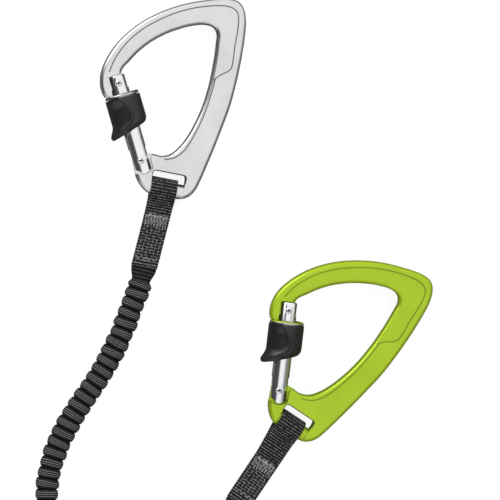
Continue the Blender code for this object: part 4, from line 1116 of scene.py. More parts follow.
def gate_cutters():
    """The recesses for the gate's foot and for its head, with the hook for the latch pin."""
    half = PLATE_THICKNESS / 2 + OVERRUN
    nose_foot = RING_TOP + NOSE_FOOT_GAP - SEAT_GAP / 2
    nose_top = GATE_LENGTH + GATE_TIP + TIP_GAP
    beyond = RING_RADIUS + NOSE_MARGIN
    below = [(-beyond, RING_TOP - NOSE_MARGIN), (beyond, RING_TOP - NOSE_MARGIN)]
    relief = [
        *below,
        (beyond, nose_top),
        (-NOSE_SIDE, nose_top),
        (-NOSE_SIDE, nose_foot),
        (-beyond, nose_foot),
    ]
    cutters = []
    for low, high in ((TONGUE / 2, half), (-half, -TONGUE / 2)):
        cutters += [prism(heel_relief(), low, high), prism(relief, low, high)]
    beside_gate = -GATE_RADIUS - NOSE_GAP
    end = [
        *below,
        (beyond, GATE_LENGTH + HOOK_NOTCH),
        (0, GATE_LENGTH + HOOK_NOTCH),
        (-HOOK_NOTCH, GATE_LENGTH + HOOK_NOTCH / 2),
        (-HOOK_NOTCH, GATE_LENGTH - HOOK_NOTCH / 2),
        (0, GATE_LENGTH - HOOK_NOTCH),
        (NOSE_REACH - SEAT_GAP, GATE_LENGTH - HOOK_NOTCH),
        (NOSE_REACH - NOSE_LIP, GATE_LENGTH - HOOK_LENGTH),
        (beside_gate, GATE_LENGTH - HOOK_LENGTH),
        (beside_gate, RING_TOP - NOSE_STEP),
        (-NOSE_RAMP[0], RING_TOP - NOSE_STEP),
        (-NOSE_RAMP[1], RING_TOP + NOSE_FOOT_GAP),
        (-beyond, RING_TOP + NOSE_FOOT_GAP),
    ]
    cutters.append(prism(end, -half, half))
    cutters.append(cylinder(PIN_RADIUS + SEAT_GAP, -half, half, PIN_STEPS))
    return [(cutter, GATE_FRAME) for cutter in cutters]


plate = carve(blank, slot_cutters() + gate_cutters())
print(f"cut plate of {len(plate.polygons)} faces")

# %% [markdown]
# A fine line is pressed into both faces. It runs inside the outer rim, steps across the
# spine and follows the inner edge. A thin tube laid half into the face cuts it. The
# line's faces get a darker finish, which is painted shade for its groove.

# %% Pressed line
LINE_RADIUS = 0.36 * MM
LINE_SINK = 0.36 * MM
SLACK = 0.02 * MM
LINE_REACH = 1.2 * LINE_RADIUS
LINE_STEPS = 180
LINE_POINTS = (
    (-46.9, 61.9), (-44.8, 71.0), (-39.8, 81.2), (-32.8, 90.0), (-24.2, 97.5), (-14.7, 103.9),
    (-4.4, 108.9), (6.1, 112.3), (14.3, 113.7), (19.6, 112.6), (22.4, 109.0), (23.4, 101.4),
    (23.6, 91.6), (24.2, 81.0), (23.1, 76.6), (16.4, 70.8), (15.6, 65.2), (14.3, 53.5),
    (12.2, 42.9), (9.1, 32.6), (5.9, 25.0), (1.3, 19.7), (-4.4, 17.2),
)


def tubes(name, strands, radius, roundness):
    """Closed tubes along strands of points."""
    curve = bpy.data.curves.new(name, "CURVE")
    curve.dimensions = "3D"
    curve.bevel_depth = radius
    curve.bevel_resolution = roundness
    curve.use_fill_caps = True
    for strand in strands:
        spline = curve.splines.new("POLY")
        spline.points.add(len(strand) - 1)
        for point, place in zip(spline.points, strand):
            point.co = (*place, 1.0)
    return welded(baked(object_from(name, curve)))


def line_path(height, count):
    return smooth_path([(x * MM, y * MM, height) for x, y in LINE_POINTS], count)[0]


def line_cutter(face):
    height = face * (PLATE_THICKNESS / 2 + LINE_RADIUS - LINE_SINK)
    return tubes("line", [line_path(height, LINE_STEPS)], LINE_RADIUS, 2)


plate = carve(plate, [(line_cutter(face), Matrix.Identity(4)) for face in (1, -1)])


def is_in_line(place, path):
    """True for a point inside the pressed line, below the plate's face."""
    depth = PLATE_THICKNESS / 2 - abs(place.z)
    if not SLACK < depth < LINE_SINK + SLACK:
        return False
    aside = np.hypot(path[:, 0] - place.x, path[:, 1] - place.y)
    return float(np.min(aside)) < LINE_REACH


# The faces inside the line are found here. They get the darker finish, as painted shade.
pressed = line_path(0, MEASURING)
shaded_line_faces = [face.index for face in plate.polygons if is_in_line(face.center, pressed)]
print(f"plate of {len(plate.polygons)} faces, {len(shaded_line_faces)} of them in the pressed line")

# %% [markdown]
# The slot's chamfers, the gate's seat and the wall beside the gate's head get a dark
# finish, which is painted shade for these narrow gaps. We find those faces by where they are
# and which way they face.

# %% Edges with painted shade
TOUCH = 0.05 * MM
FACE_ON = 0.95
CHAMFER_REACH = 1.1 * SLOT_CHAMFER
SEAT_REACH = 1.02 * HEEL_RELIEF


def is_shaded_edge(place, normal):
    """True on the slot's upper chamfer and on the walls that the gate closes against."""
    if abs(normal.z) > FACE_ON:
        return False
    in_slot = abs(place.x) < SLOT_WIDTH / 2 + CHAMFER_REACH
    slot_top = BAR_RADIUS + SLOT_HEIGHT + CHAMFER_REACH
    in_slot = in_slot and BAR_RADIUS + MM < place.y < slot_top
    chamfered = abs(place.z) > PLATE_THICKNESS / 2 - CHAMFER_REACH
    at_gate = GATE_FRAME.inverted() @ place
    in_seat = math.hypot(at_gate.x, at_gate.y) < SEAT_REACH and at_gate.y < 0
    beside_head = abs(at_gate.x + NOSE_SIDE) < TOUCH and at_gate.y > 0
    return (in_slot and chamfered) or ((in_seat or beside_head) and abs(place.z) > TONGUE / 2)


shaded_edge_faces = [face.index for face in plate.polygons if is_shaded_edge(face.center, face.normal)]
print(f"{len(shaded_edge_faces)} shade_painted faces")

# %% Finish both bodies
BODY_SHARP = 38.0


def make_body(name, *materials):
    mesh = plate.copy()
    mesh.transform(swing_frame(LIES[name]))
    shade(mesh, BODY_SHARP)
    # Slot 1 paints shade into the pressed line, and slot 2 into the gaps at the slot and the gate.
    for slot, faces in ((1, shaded_line_faces), (2, shaded_edge_faces)):
        for index in faces:
            mesh.polygons[index].material_index = slot
    node = f"{name}_carabiner"
    piece, slot_name = f"{name}_forged_body", f"{name}_anodised"
    body = add_piece(piece, mesh, materials, node, [f"{node}_body"], slot_name)
    weighted = body.modifiers.new("weighted", "WEIGHTED_NORMAL")
    weighted.keep_sharp = True


make_body("silver", SILVER, SILVER_LINE_SHADE, SILVER_EDGE_SHADE)
make_body("lime", LIME, LIME_LINE_SHADE, LIME_EDGE_SHADE)
print("both bodies made")

# %% [markdown]
# ## Gate, rivets and ring
#
# The gate is turned from bar and then slotted at both ends, so a spun profile and two
# straight cuts make it. Its foot is cut to a blunt V. A flat seat under each rivet head
# is sunk into the round of the gate.

# %% Pieces on the gate
GATE_STEPS = 72
GATE_PINS = "gate_with_pins"
SLEEVE_BODY = "locking_sleeve"


def gate_place(name):
    """Where the gate's frame lies on a carabiner."""
    return swing_frame(LIES[name]) @ GATE_FRAME


def add_on_gate(name, piece, mesh, materials, body, node, slot):
    """A piece drawn in the gate's frame, laid on one carabiner and named after it."""
    mesh.transform(gate_place(name))
    replaced = [f"{name}_{node}"]
    return add_piece(f"{name}_{piece}", mesh, materials, f"{name}_{body}", replaced, slot)


def rounded_rim(radius, top, steps):
    """Points of a turned rim, from how far in and down each is, in millimetres."""
    return [(radius - inward * MM, top - down * MM) for inward, down in steps]


print("gate helpers ready")

# %% Gate
GATE_SLOT = 5.0 * MM
LOWER_SLOT = 7.6 * MM
UPPER_SLOT = 3.4 * MM
GATE_RIM = ((0.9, 0.0), (0.35, 0.2), (0.0, 0.7))
GROOVE = (23.5 * MM, 25.3 * MM)
GROOVE_FLOOR = GATE_RADIUS - 0.6 * MM
BORE_RADIUS = 2.4 * MM
BORE_TOP = 30.0 * MM
FOOT_FLAT = 0.6 * MM
FOOT_CUTS = (-6.1 * MM, -4.0 * MM)
HEAD_RADIUS = 1.75 * MM
HEAD_SEAT = 4.95 * MM
HEAD_GAP = 0.4 * MM
SEAT_STEPS = 48
GATE_SHARP = 35.0


def gate_mesh():
    tip = GATE_LENGTH + GATE_TIP
    outer = [
        (0, tip),
        *rounded_rim(GATE_RADIUS, tip, GATE_RIM),
        (GATE_RADIUS, GROOVE[1]),
        (GROOVE_FLOOR, GROOVE[1]),
        (GROOVE_FLOOR, GROOVE[0]),
        (GATE_RADIUS, GROOVE[0]),
        (GATE_RADIUS, -GATE_FOOT),
        (BORE_RADIUS, -GATE_FOOT),
        (BORE_RADIUS, BORE_TOP),
        (0, BORE_TOP),
    ]
    wide = GATE_RADIUS + OVERRUN
    half = GATE_SLOT / 2
    right, left = FOOT_CUTS
    foot = [
        (-wide, -GATE_FOOT - OVERRUN),
        (wide, -GATE_FOOT - OVERRUN),
        (wide, right),
        (GATE_RADIUS, right),
        (FOOT_FLAT, -GATE_FOOT + SEAT_GAP),
        (-FOOT_FLAT, -GATE_FOOT + SEAT_GAP),
        (-GATE_RADIUS, left),
        (-wide, left),
    ]
    here = Matrix.Identity(4)
    lower = block((-wide, -GATE_FOOT - OVERRUN, -half), (wide, LOWER_SLOT, half))
    upper = block((-wide, GATE_LENGTH - UPPER_SLOT, -half), (wide, tip + OVERRUN, half))
    cutters = [(lower, here), (upper, here), (prism(foot, -wide, wide), here)]
    seat, seat_radius = HEAD_SEAT - HEAD_GAP, HEAD_RADIUS + HEAD_GAP
    for along in (0, GATE_LENGTH):
        at = Matrix.Translation((0, along, 0))
        cutters.append((cylinder(PIN_RADIUS + SEAT_GAP, -wide, wide, PIN_STEPS), at))
        cutters.append((cylinder(seat_radius, seat, wide, SEAT_STEPS), at))
        cutters.append((cylinder(seat_radius, -wide, -seat, SEAT_STEPS), at))
    return carve(plain_mesh(spun(outer, GATE_STEPS), "gate"), cutters)


gate = shade(gate_mesh(), GATE_SHARP)
print(f"turned gate of {len(gate.polygons)} faces")

# %% Rivets, with a dimple in each head
DIMPLE_RADIUS = 0.9 * MM
HEAD_PROFILE = ((0.0, 4.98), (0.25, 5.02), (0.85, 5.5), (1.1, 5.62), (1.4, 5.52), (1.75, 5.15))
HEAD_FOOT = HEAD_SEAT + 0.05 * MM
HEAD_STEPS = 40


def rivet_mesh(along):
    half = [(radius * MM, height * MM) for radius, height in HEAD_PROFILE]
    half += [(HEAD_RADIUS, HEAD_FOOT), (PIN_RADIUS, HEAD_FOOT)]
    bm = spun(half + [(radius, -height) for radius, height in reversed(half)], HEAD_STEPS)
    upright = Matrix.Rotation(math.pi / 2, 3, "X")
    bmesh.ops.rotate(bm, verts=bm.verts, cent=(0, 0, 0), matrix=upright)
    # The faces of the dimple get the second, dark finish, as painted shade.
    for face in bm.faces:
        middle = face.calc_center_median()
        face.material_index = int(math.hypot(middle.x, middle.y) < DIMPLE_RADIUS)
    bmesh.ops.translate(bm, verts=bm.verts, vec=(0, along, 0))
    return to_mesh(bm, "rivet")


print("rivets ready")

# %% Gates with their rivets
for name in LIES:
    copied = gate.copy()
    add_on_gate(name, "turned_gate", copied, [POLISHED], GATE_PINS, "gate", "polished_aluminium")
    for node, along in (("hinge_rivet", 0), ("latch_pin", GATE_LENGTH)):
        materials = [POLISHED, DIMPLE_SHADE]
        mesh = rivet_mesh(along)
        add_on_gate(name, f"{node}_head", mesh, materials, GATE_PINS, node, "polished_aluminium")
print("gates and rivets made")

# %% [markdown]
# The locking ring crowns the sleeve. On the lime carabiner its top is lime and its band
# is bare metal, so the faces that look up the gate get the second material.

# %% Locking rings
GATE_CLEARANCE = 0.5 * MM
RING_HEIGHT = 1.9 * MM
RING_SKIRT = 2.5 * MM
RING_RIM = ((1.0, 0.0), (0.35, 0.25), (0.0, 0.8))
RING_FOOT_ROUND = 0.2 * MM
SKIRT_RADIUS = 8.6 * MM
RING_SEAT = 8.4 * MM
RING_SEAT_DEPTH = 1.5 * MM
RING_SEAT_EDGE = 0.15 * MM
TOP_DEPTH = 0.7 * MM
UPWARD = 0.3


def ring_mesh():
    foot = RING_TOP - RING_HEIGHT
    bore = GATE_RADIUS + GATE_CLEARANCE
    profile = [
        *rounded_rim(RING_RADIUS, RING_TOP, RING_RIM),
        (RING_RADIUS, foot + RING_FOOT_ROUND),
        (RING_RADIUS - RING_FOOT_ROUND, foot),
        (SKIRT_RADIUS, foot),
        (SKIRT_RADIUS, foot - RING_SKIRT),
        (bore, foot - RING_SKIRT),
        (bore, RING_TOP - RING_SEAT_DEPTH),
        (RING_SEAT, RING_TOP - RING_SEAT_DEPTH),
        (RING_SEAT, RING_TOP - RING_SEAT_EDGE),
        (RING_SEAT + RING_SEAT_EDGE, RING_TOP),
    ]
    bm = spun(profile, GATE_STEPS, closed=True)
    for face in bm.faces:
        looks_up = face.normal.y > UPWARD
        face.material_index = int(looks_up and face.calc_center_median().y > RING_TOP - TOP_DEPTH)
    return to_mesh(bm, "ring")


for name, top_material in (("silver", RING_METAL), ("lime", LIME)):
    materials, node = [RING_METAL, top_material], "locking_ring"
    mesh = ring_mesh()
    add_on_gate(name, "crown_ring", mesh, materials, SLEEVE_BODY, node, "polished_aluminium")
print("rings made")

# %% [markdown]
# ## The sleeve
#
# The sleeve fits the palm. Its outside starts as a plain spun cup, and every point of
# that cup is then moved: the foot is cut at a slant and flares to a lip on the left, and
# a thumb scoop is hollowed out between a curved ridge and the left side.

# %% Sleeve
SLEEVE_RADIUS = 10.6 * MM
SLEEVE_TOP = RING_TOP - RING_HEIGHT - SEAT_GAP
SLEEVE_LENGTH = 22.4 * MM
SLEEVE_FOOT = RING_TOP - SLEEVE_LENGTH
SLEEVE_SLANT = 0.29
SLEEVE_ROWS = 48
FINE_FROM = 0.9
FINE_ROWS = 18
SLEEVE_AROUND = 180
LIP_SHARES = (0.0, 0.66, 0.72, 0.78, 0.84, 0.895, 0.93, 0.95, 0.965, 0.98, 1.0)
LIP_REACHES = (0.0, 0.0, 0.35, 1.1, 2.05, 2.7, 2.65, 2.2, 2.45, 2.1, 1.2)
LIP_DROP = 0.15 * MM
FOOT_ROUND = 3.6 * MM
FOOT_DEPTH = 2.6 * MM
SCOOP_DEPTH = 4.4 * MM
SCOOP_END = 178.0
BORE_FLARE = 2.2 * MM
CHAMBER = (7.4 * MM, 23.5 * MM)
RECESS = (8.9 * MM, SLEEVE_TOP + SEAT_GAP - 2.8 * MM)
SKIN = 0.01 * MM
CREST = 0.7 * MM
UNDER_CREST = 0.15 * MM
CREST_BACK = 3.0
CREST_SPREAD = 4.5
CREST_FADES = (0.0, 0.12, 0.80, 0.95)
SCOOP_FADES = (0.0, 0.30, 0.84, 1.0)
SCOOP_START = 0.55
SCOOP_STOP = 0.9
FLARE_TURN = 1.4
FOOT_SQUARENESS = 0.98
LIP_TOP = 0.03
BORE_FOOT = 0.99
SLEEVE_SHARP = 50.0
RIDGE = (
    (39.2, 106.0), (37.3, 100.0), (33.5, 88.0), (29.7, 83.0), (27.0, 84.0),
    (24.9, 88.0), (22.8, 97.0), (20.9, 110.0), (19.0, 130.0), (17.3, 155.0),
)


def ridge_angle(along):
    heights, angles = zip(*reversed(RIDGE))
    return float(np.interp(along / MM, heights, angles))


def faded(share, fades):
    """1 between the inner two of four shares, and 0 beyond the outer two."""
    return smooth_step(share, *fades[:2]) * (1 - smooth_step(share, *fades[2:]))


def sleeve_reach(degrees, share, along, foot):
    """How far out the sleeve's skin is, at an angle from its inner side."""
    to_left = max(0.0, -math.cos(math.radians(degrees)))
    flare = float(np.interp(share, LIP_SHARES, LIP_REACHES)) * MM * to_left**FLARE_TURN
    start = ridge_angle(along)
    inside = (abs(degrees) - start) / (SCOOP_END - start)
    scoop = 0.0
    if 0 < inside < 1:
        scoop = SCOOP_DEPTH * inside**SCOOP_START * (1 - inside) ** SCOOP_STOP
        scoop *= faded(share, SCOOP_FADES)
    from_crest = (abs(degrees) - start + CREST_BACK) / CREST_SPREAD
    crest = (CREST if degrees > 0 else UNDER_CREST) * math.exp(-(from_crest**2))
    crest *= faded(share, CREST_FADES)
    into_corner = min(max(1 - (along - foot) / FOOT_ROUND, 0.0), 1.0)
    rounded = 1 - math.sqrt(1 - into_corner**2 * FOOT_SQUARENESS)
    corner = FOOT_DEPTH * rounded * (1 - to_left) ** 2
    lip = LIP_DROP * (1 - smooth_step(share, 0.0, LIP_TOP))
    return SLEEVE_RADIUS + flare + crest - scoop - corner - lip


def sleeve_mesh():
    bore = GATE_RADIUS + GATE_CLEARANCE
    rows = [*np.linspace(0, FINE_FROM, SLEEVE_ROWS), *np.linspace(FINE_FROM, 1, FINE_ROWS)[1:]]
    wall = [(SLEEVE_RADIUS, SLEEVE_TOP + (SLEEVE_FOOT - SLEEVE_TOP) * share) for share in rows]
    inside = [
        (bore + BORE_FLARE, SLEEVE_FOOT),
        (bore, SLEEVE_FOOT),
        (bore, CHAMBER[1]),
        CHAMBER,
        (CHAMBER[0], RECESS[1]),
        RECESS,
        (RECESS[0], SLEEVE_TOP),
    ]
    bm = spun(wall + inside, SLEEVE_AROUND, closed=True)
    for vert in bm.verts:
        reach = math.hypot(vert.co.x, vert.co.z)
        angle = math.atan2(vert.co.z, vert.co.x)
        share = (SLEEVE_TOP - vert.co.y) / (SLEEVE_TOP - SLEEVE_FOOT)
        outer = reach > SLEEVE_RADIUS - SKIN
        if not outer and share < BORE_FOOT:
            continue
        if outer:
            foot = SLEEVE_FOOT + SLEEVE_SLANT * reach * math.cos(angle)
            guess = SLEEVE_TOP + (foot - SLEEVE_TOP) * share
            reach = sleeve_reach(math.degrees(angle), share, guess, foot)
        across = reach * math.cos(angle)
        foot = SLEEVE_FOOT + SLEEVE_SLANT * across
        vert.co = (across, SLEEVE_TOP + (foot - SLEEVE_TOP) * share, reach * math.sin(angle))
    bmesh.ops.recalc_face_normals(bm, faces=bm.faces)
    return to_mesh(bm, "palm_sleeve", smooth_angle=SLEEVE_SHARP)


for name in LIES:
    add_on_gate(name, "palm_sleeve", sleeve_mesh(), [PLASTIC], SLEEVE_BODY, "sleeve", "black_plastic")
print("sleeves made")

# %% [markdown]
# ## Springs
#
# One spring pushes the sleeve up and a smaller one pushes the plunger down. A small
# circle that is spun while it climbs makes the coil.

# %% Springs
WIRE = 0.3 * MM
WIRE_SIDES = 10
COIL_STEPS = 28
SLEEVE_TRAVEL = 8.0 * MM
SQUEEZED = 4.0 * MM
SKIRT_FOOT = RING_TOP - RING_HEIGHT - RING_SKIRT
CLIP_TOP = SKIRT_FOOT - SLEEVE_TRAVEL - SQUEEZED
PLUNGER_LENGTH = 4.6 * MM
PLUNGER_TOP = LUG_RADIUS + SEAT_GAP + PLUNGER_LENGTH
SLEEVE_COIL = (6.45 * MM, 4)
GATE_COIL = (1.65 * MM, 6)


def coil(radius, low, high, turns):
    bm = bmesh.new()
    bmesh.ops.create_circle(bm, segments=WIRE_SIDES, radius=WIRE)
    bmesh.ops.translate(bm, verts=bm.verts, vec=(radius, low + WIRE, 0))
    bmesh.ops.spin(
        bm,
        geom=bm.verts[:] + bm.edges[:],
        cent=(0, 0, 0),
        axis=(0, 1, 0),
        dvec=(0, (high - low - 2 * WIRE) / (turns * COIL_STEPS), 0),
        angle=2 * math.pi * turns,
        steps=turns * COIL_STEPS,
    )
    close_ends(bm)
    return bm


def add_spring(name, node, shape, ends, still):
    """A spring between two heights. Its argument still is not used."""
    radius, turns = shape
    piece = f"{node}_coil"
    mesh = to_mesh(coil(radius, *ends, turns), piece)
    spring = add_on_gate(name, piece, mesh, [STEEL], GATE_PINS, node, "spring_steel")
    place = gate_place(name)
    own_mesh(spring)


for name in LIES:
    ends = (CLIP_TOP + SEAT_GAP, SKIRT_FOOT - SEAT_GAP)
    add_spring(name, "sleeve_spring", SLEEVE_COIL, ends, ends[0])
    ends = (PLUNGER_TOP + SEAT_GAP, BORE_TOP - SEAT_GAP)
    add_spring(name, "gate_spring", GATE_COIL, ends, ends[1])

# %% [markdown]
# ## Sewn eyes
#
# The webbing goes up through the slot, round the bar and back under itself. It is a flat
# grid laid along that line, and Solidify gives it its thickness.

# %% Straps
STRAP_ROWS = 120
STRAP_COLUMNS = 12
STRAP_EDGE = 0.45 * MM
TURN_STEPS = 16
SEWN_SHARES = (1.0, 0.8, 0.6, 0.4, 0.2, 0.06)
RUN_SHARES = (0.85, 0.5, 0.2)


def strap_line(radius, thickness, angle, end):
    """The middle line of a strap that goes round a bar and is sewn to itself."""
    reach = radius + thickness / 2
    above = (thickness + STITCH_GAP) / 2
    touch = Vector((reach * math.cos(angle), reach * math.sin(angle)))
    onward = Vector((math.sin(angle), -math.cos(angle)))
    run = (touch.y - above) / math.cos(angle)
    join = touch.x + onward.x * run
    half = [(join + (end - join) * share, above) for share in SEWN_SHARES]
    half += [tuple(touch + onward * run * share) for share in RUN_SHARES]
    turn = []
    for step in range(TURN_STEPS + 1):
        turned = angle + (2 * math.pi - 2 * angle) * step / TURN_STEPS
        turn.append((reach * math.cos(turned), reach * math.sin(turned)))
    line = half + turn + [(x, -y) for x, y in reversed(half)]
    return [(x, y, 0.0) for x, y in line]


def make_strap(name, line, width, thickness, lay, replaced):
    """Webbing along a line. lay(along, above, across, share) gives each point's place."""
    path, length = smooth_path(line, STRAP_ROWS)

    def place(across, along):
        x, y, _ = path[round(along * STRAP_ROWS)]
        return lay(x, y, (across - 0.5) * width, along)

    bm = grid_mesh(STRAP_COLUMNS, STRAP_ROWS, width, length, place)
    strap = add_piece(name, to_mesh(bm, name), [WEBBING], "lanyard", replaced, "black_webbing")
    thicken(strap, thickness)
    soften(strap, STRAP_EDGE, 3)
    print(f"{name}: {length / MM:.0f} mm of webbing")


# %% Eye webbing
ROUND_THE_BAR = (0.42, 0.58)


def make_eye(name, lies):
    frame_matrix = eye_frame(lies)

    def lay(along, above, across, share):
        under = smooth_step(share, *ROUND_THE_BAR)
        under *= 1 - smooth_step(along, EYE_RADIUS, lies["upper_tack"][0])
        return frame_matrix @ place_on_eye(lies, along, above, across + lies["under"] * under)

    thickness = WEBBING_THICKNESS
    line = strap_line(EYE_RADIUS, thickness, EYE_ANGLE, lies["sewn"])
    make_strap(f"{name}_sewn_eye", line, WEBBING_WIDTH, thickness, lay, [f"{name}_eye_webbing"])


for name, lies in LIES.items():
    make_eye(name, lies)

# %% [markdown]
# ## Stitches
#
# Grey thread holds the eye shut: a tall zigzag at the top, columns of short stitches
# below it, a low zigzag and a last row near the end. Each stitch is a short bent tube,
# because from near by real stitches stand proud of the cloth.

# %% Thread tubes
STITCH_RADIUS = 0.25 * MM
FINE_RADIUS = 0.19 * MM
STITCH_RISE = 0.1 * MM
STITCH_SINK = 0.9 * STITCH_RADIUS
STITCH_SHARES = (0.0, 0.2, 0.5, 0.8, 1.0)
THREAD_SHARP = 70.0
COLUMN_COUNT = 6
COLUMNS_WIDTH = 11.6 * MM
COLUMN_PITCH = 2.7 * MM
COLUMN_STITCH = 1.6 * MM
COLUMN_STRAY = 0.2 * MM
CROSSING = 1.0 * MM
CROSSINGS = 8
LAST_ROWS = (4.0 * MM, 1.9 * MM)


def stitch(on_cloth, first, last, rise):
    """A stitch between two points of the cloth, bowed up by its thread.

    on_cloth(along, across, above) gives the place of a point on or above the cloth."""
    points = []
    for share in STITCH_SHARES:
        along = first[0] + (last[0] - first[0]) * share
        across = first[1] + (last[1] - first[1]) * share
        bow = rise * math.sin(math.pi * share) - STITCH_SINK * abs(2 * share - 1) ** 4
        points.append(on_cloth(along, across, bow + STITCH_RADIUS * 0.5))
    return points


def zigzag(on_cloth, low, high, width, legs, stray):
    """A tack of slanting legs between two rows, some of which fall short or run over."""
    strands = []
    for leg in range(legs):
        ends = (low, high) if leg % 2 == 0 else (high, low)
        starts = width * (leg / legs - 0.5)
        stops = width * ((leg + 1) / legs - 0.5)
        nudge = chance.uniform(-stray, stray, 2)
        first = (ends[0] + nudge[0], starts)
        strands.append(stitch(on_cloth, first, (ends[1] + nudge[1], stops), STITCH_RISE))
    return strands


def columns(on_cloth, low, high):
    """Columns of short stitches, each second one half a pitch further on."""
    strands = []
    for column in range(COLUMN_COUNT):
        across = COLUMNS_WIDTH * (column / (COLUMN_COUNT - 1) - 0.5)
        start = low + (COLUMN_PITCH / 2 if column % 2 else 0)
        while start + COLUMN_STITCH < high:
            nudge = chance.uniform(-COLUMN_STRAY, COLUMN_STRAY)
            ends = (start, across + nudge), (start + COLUMN_STITCH, across - nudge)
            strands.append(stitch(on_cloth, *ends, STITCH_RISE))
            start += COLUMN_PITCH
    return strands


def crossing_row(on_cloth, along):
    """A row of short stitches across the strap."""
    strands = []
    for index in range(CROSSINGS):
        across = COLUMNS_WIDTH * (index / (CROSSINGS - 1) - 0.5)
        ends = (along, across - CROSSING / 2), (along, across + CROSSING / 2)
        strands.append(stitch(on_cloth, *ends, STITCH_RISE))
    return strands


def thread_mesh(name, strands, radius):
    return to_mesh(tubes(name, strands, radius, 1), name, smooth_angle=THREAD_SHARP)


def sew(name, strands, radius, replaced):
    add_piece(name, thread_mesh(name, strands, radius), [THREAD], "lanyard", replaced, "grey_thread")


print("stitches ready")

# %% Stitches of the eyes
TALL_WIDTH = 13.2 * MM
TALL_LEGS = 15
TALL_STRAY = 0.9 * MM
EDGE_PASS = (0.0, 1.8 * MM, 11, 0.3 * MM)
DENSE_PASS = (0.2 * MM, 1.2 * MM, 17, 0.2 * MM)
LOW_WIDTH = 12.8 * MM
LOW_LEGS = 8
LOW_STRAY = 0.4 * MM


def eye_cloth(lies):
    """The upper face of a sewn eye, for its stitches."""
    frame_matrix = eye_frame(lies)
    top = WEBBING_THICKNESS + STITCH_GAP / 2

    def on_cloth(along, across, above):
        return frame_matrix @ place_on_eye(lies, along, top + above, across)

    return on_cloth


def sew_eye(name, lies):
    cloth = eye_cloth(lies)
    tall_low, tall_high = lies["upper_tack"]
    low_start, low_end = lies["lower_tack"]
    tall = zigzag(cloth, tall_low, tall_high, TALL_WIDTH, TALL_LEGS, TALL_STRAY)
    for start, end, legs, stray in (EDGE_PASS, DENSE_PASS):
        tall += zigzag(cloth, tall_low + start, tall_low + end, TALL_WIDTH, legs, stray)
    sew(f"{name}_tall_zigzag", tall, STITCH_RADIUS, [f"{name}_upper_tack"])
    low = zigzag(cloth, low_start + MM, low_end, LOW_WIDTH, LOW_LEGS, LOW_STRAY)
    sew(f"{name}_low_zigzag", low, STITCH_RADIUS, [f"{name}_lower_tack"])
    fine = columns(cloth, tall_high + MM, low_start)
    for back in LAST_ROWS:
        fine += crossing_row(cloth, lies["sewn"] - back)
    sew(f"{name}_stitch_rows", fine, FINE_RADIUS, [])


for name, lies in LIES.items():
    sew_eye(name, lies)
print("eyes sewn")

# %% [markdown]
# ## The absorber
#
# A fall tears a stack of folded webbing open, and that takes up the shock. The stack is
# one long strap laid to and fro, so its middle line is drawn with a round turn at each
# fold. It sits in a cloth pouch.

# %% Folded tear webbing
POUCH_END = Vector((-4.0 * MM, -362.0 * MM, 0)) + TABLE_SHIFT
POUCH_HALF = Vector((31.0 * MM, 67.5 * MM, 16.03 * MM))
POUCH_WALL = 1.4 * MM
PACK_INSET = 28.0 * MM
PACK_LENGTH = 90.0 * MM
PACK_WIDTH = 42.0 * MM
PACK_LAYERS = 8
PACK_LAYER = 2.6 * MM
PACK_STEP = 3.05 * MM
FOLD_TURNS = 6
LAYER_SHARES = (0.0, 0.33, 0.67, 1.0)
PACK_ROWS = 480
PACK_COLUMNS = 14


def pack_line():
    """The middle line of the folded strap, from its lowest layer to its highest."""
    reach = PACK_STEP / 2
    near = POUCH_END.y - PACK_INSET - PACK_LAYER / 2 - reach
    far = POUCH_END.y - PACK_INSET - PACK_LENGTH + PACK_LAYER / 2 + reach
    floor = POUCH_END.z + POUCH_WALL + SEAT_GAP + PACK_LAYER / 2
    points = []
    for layer in range(PACK_LAYERS):
        height = floor + layer * PACK_STEP
        ends = (near, far) if layer % 2 == 0 else (far, near)
        run = ends[1] - ends[0]
        points += [(ends[0] + run * share, height, 0.0) for share in LAYER_SHARES]
        if layer == PACK_LAYERS - 1:
            break
        outward = 1 if ends[1] == near else -1
        for step in range(1, FOLD_TURNS):
            angle = math.pi * (step / FOLD_TURNS - 0.5)
            bulge = outward * reach * math.cos(angle)
            points.append((ends[1] + bulge, height + reach + reach * math.sin(angle), 0.0))
    return points


def make_pack():
    path, length = smooth_path(pack_line(), PACK_ROWS)

    def place(across, along):
        y, z, _ = path[round(along * PACK_ROWS)]
        return Vector((POUCH_END.x + (across - 0.5) * PACK_WIDTH, y, z))

    bm = grid_mesh(PACK_COLUMNS, PACK_ROWS, PACK_WIDTH, length, place)
    name, replaced = "folded_tear_webbing", ["tear_webbing_pack"]
    pack = add_piece(name, to_mesh(bm, name), [WEBBING], "lanyard", replaced, "black_webbing")
    thicken(pack, PACK_LAYER)
    soften(pack, STRAP_EDGE, 2)
    print(f"tear webbing: {length:.3f} m folded in {PACK_LAYERS} layers")


make_pack()

# %% [markdown]
# The pouch is a sewn case that its filling pushes out. It begins as a box with a fine
# grid on each side, whose points are then moved: the edges are rounded, the top is
# crowned and sags towards the ends, and shallow dents break up the flat sides. The two
# mouths are cells left open, and Solidify turns the skin into cloth.

# %% Pouch
POUCH_MIDDLE = POUCH_END + Vector((0, -POUCH_HALF.y, POUCH_HALF.z))
POUCH_ROUND = 6.0 * MM
POUCH_CELLS = (31, 68, 16)
MOUTH = (19.0 * MM, -14.0 * MM, -5.8 * MM)
TAIL_MOUTH = (3.1 * MM, -14.0 * MM, 12.1 * MM)
CROWN = 2.2 * MM
END_SAG = 2.4 * MM
END_NARROWING = 1.6 * MM
DENT = 0.9 * MM
DENT_SCALE = 48.0
SQUARE_ON = 0.9
CASE_SHARP = 60.0


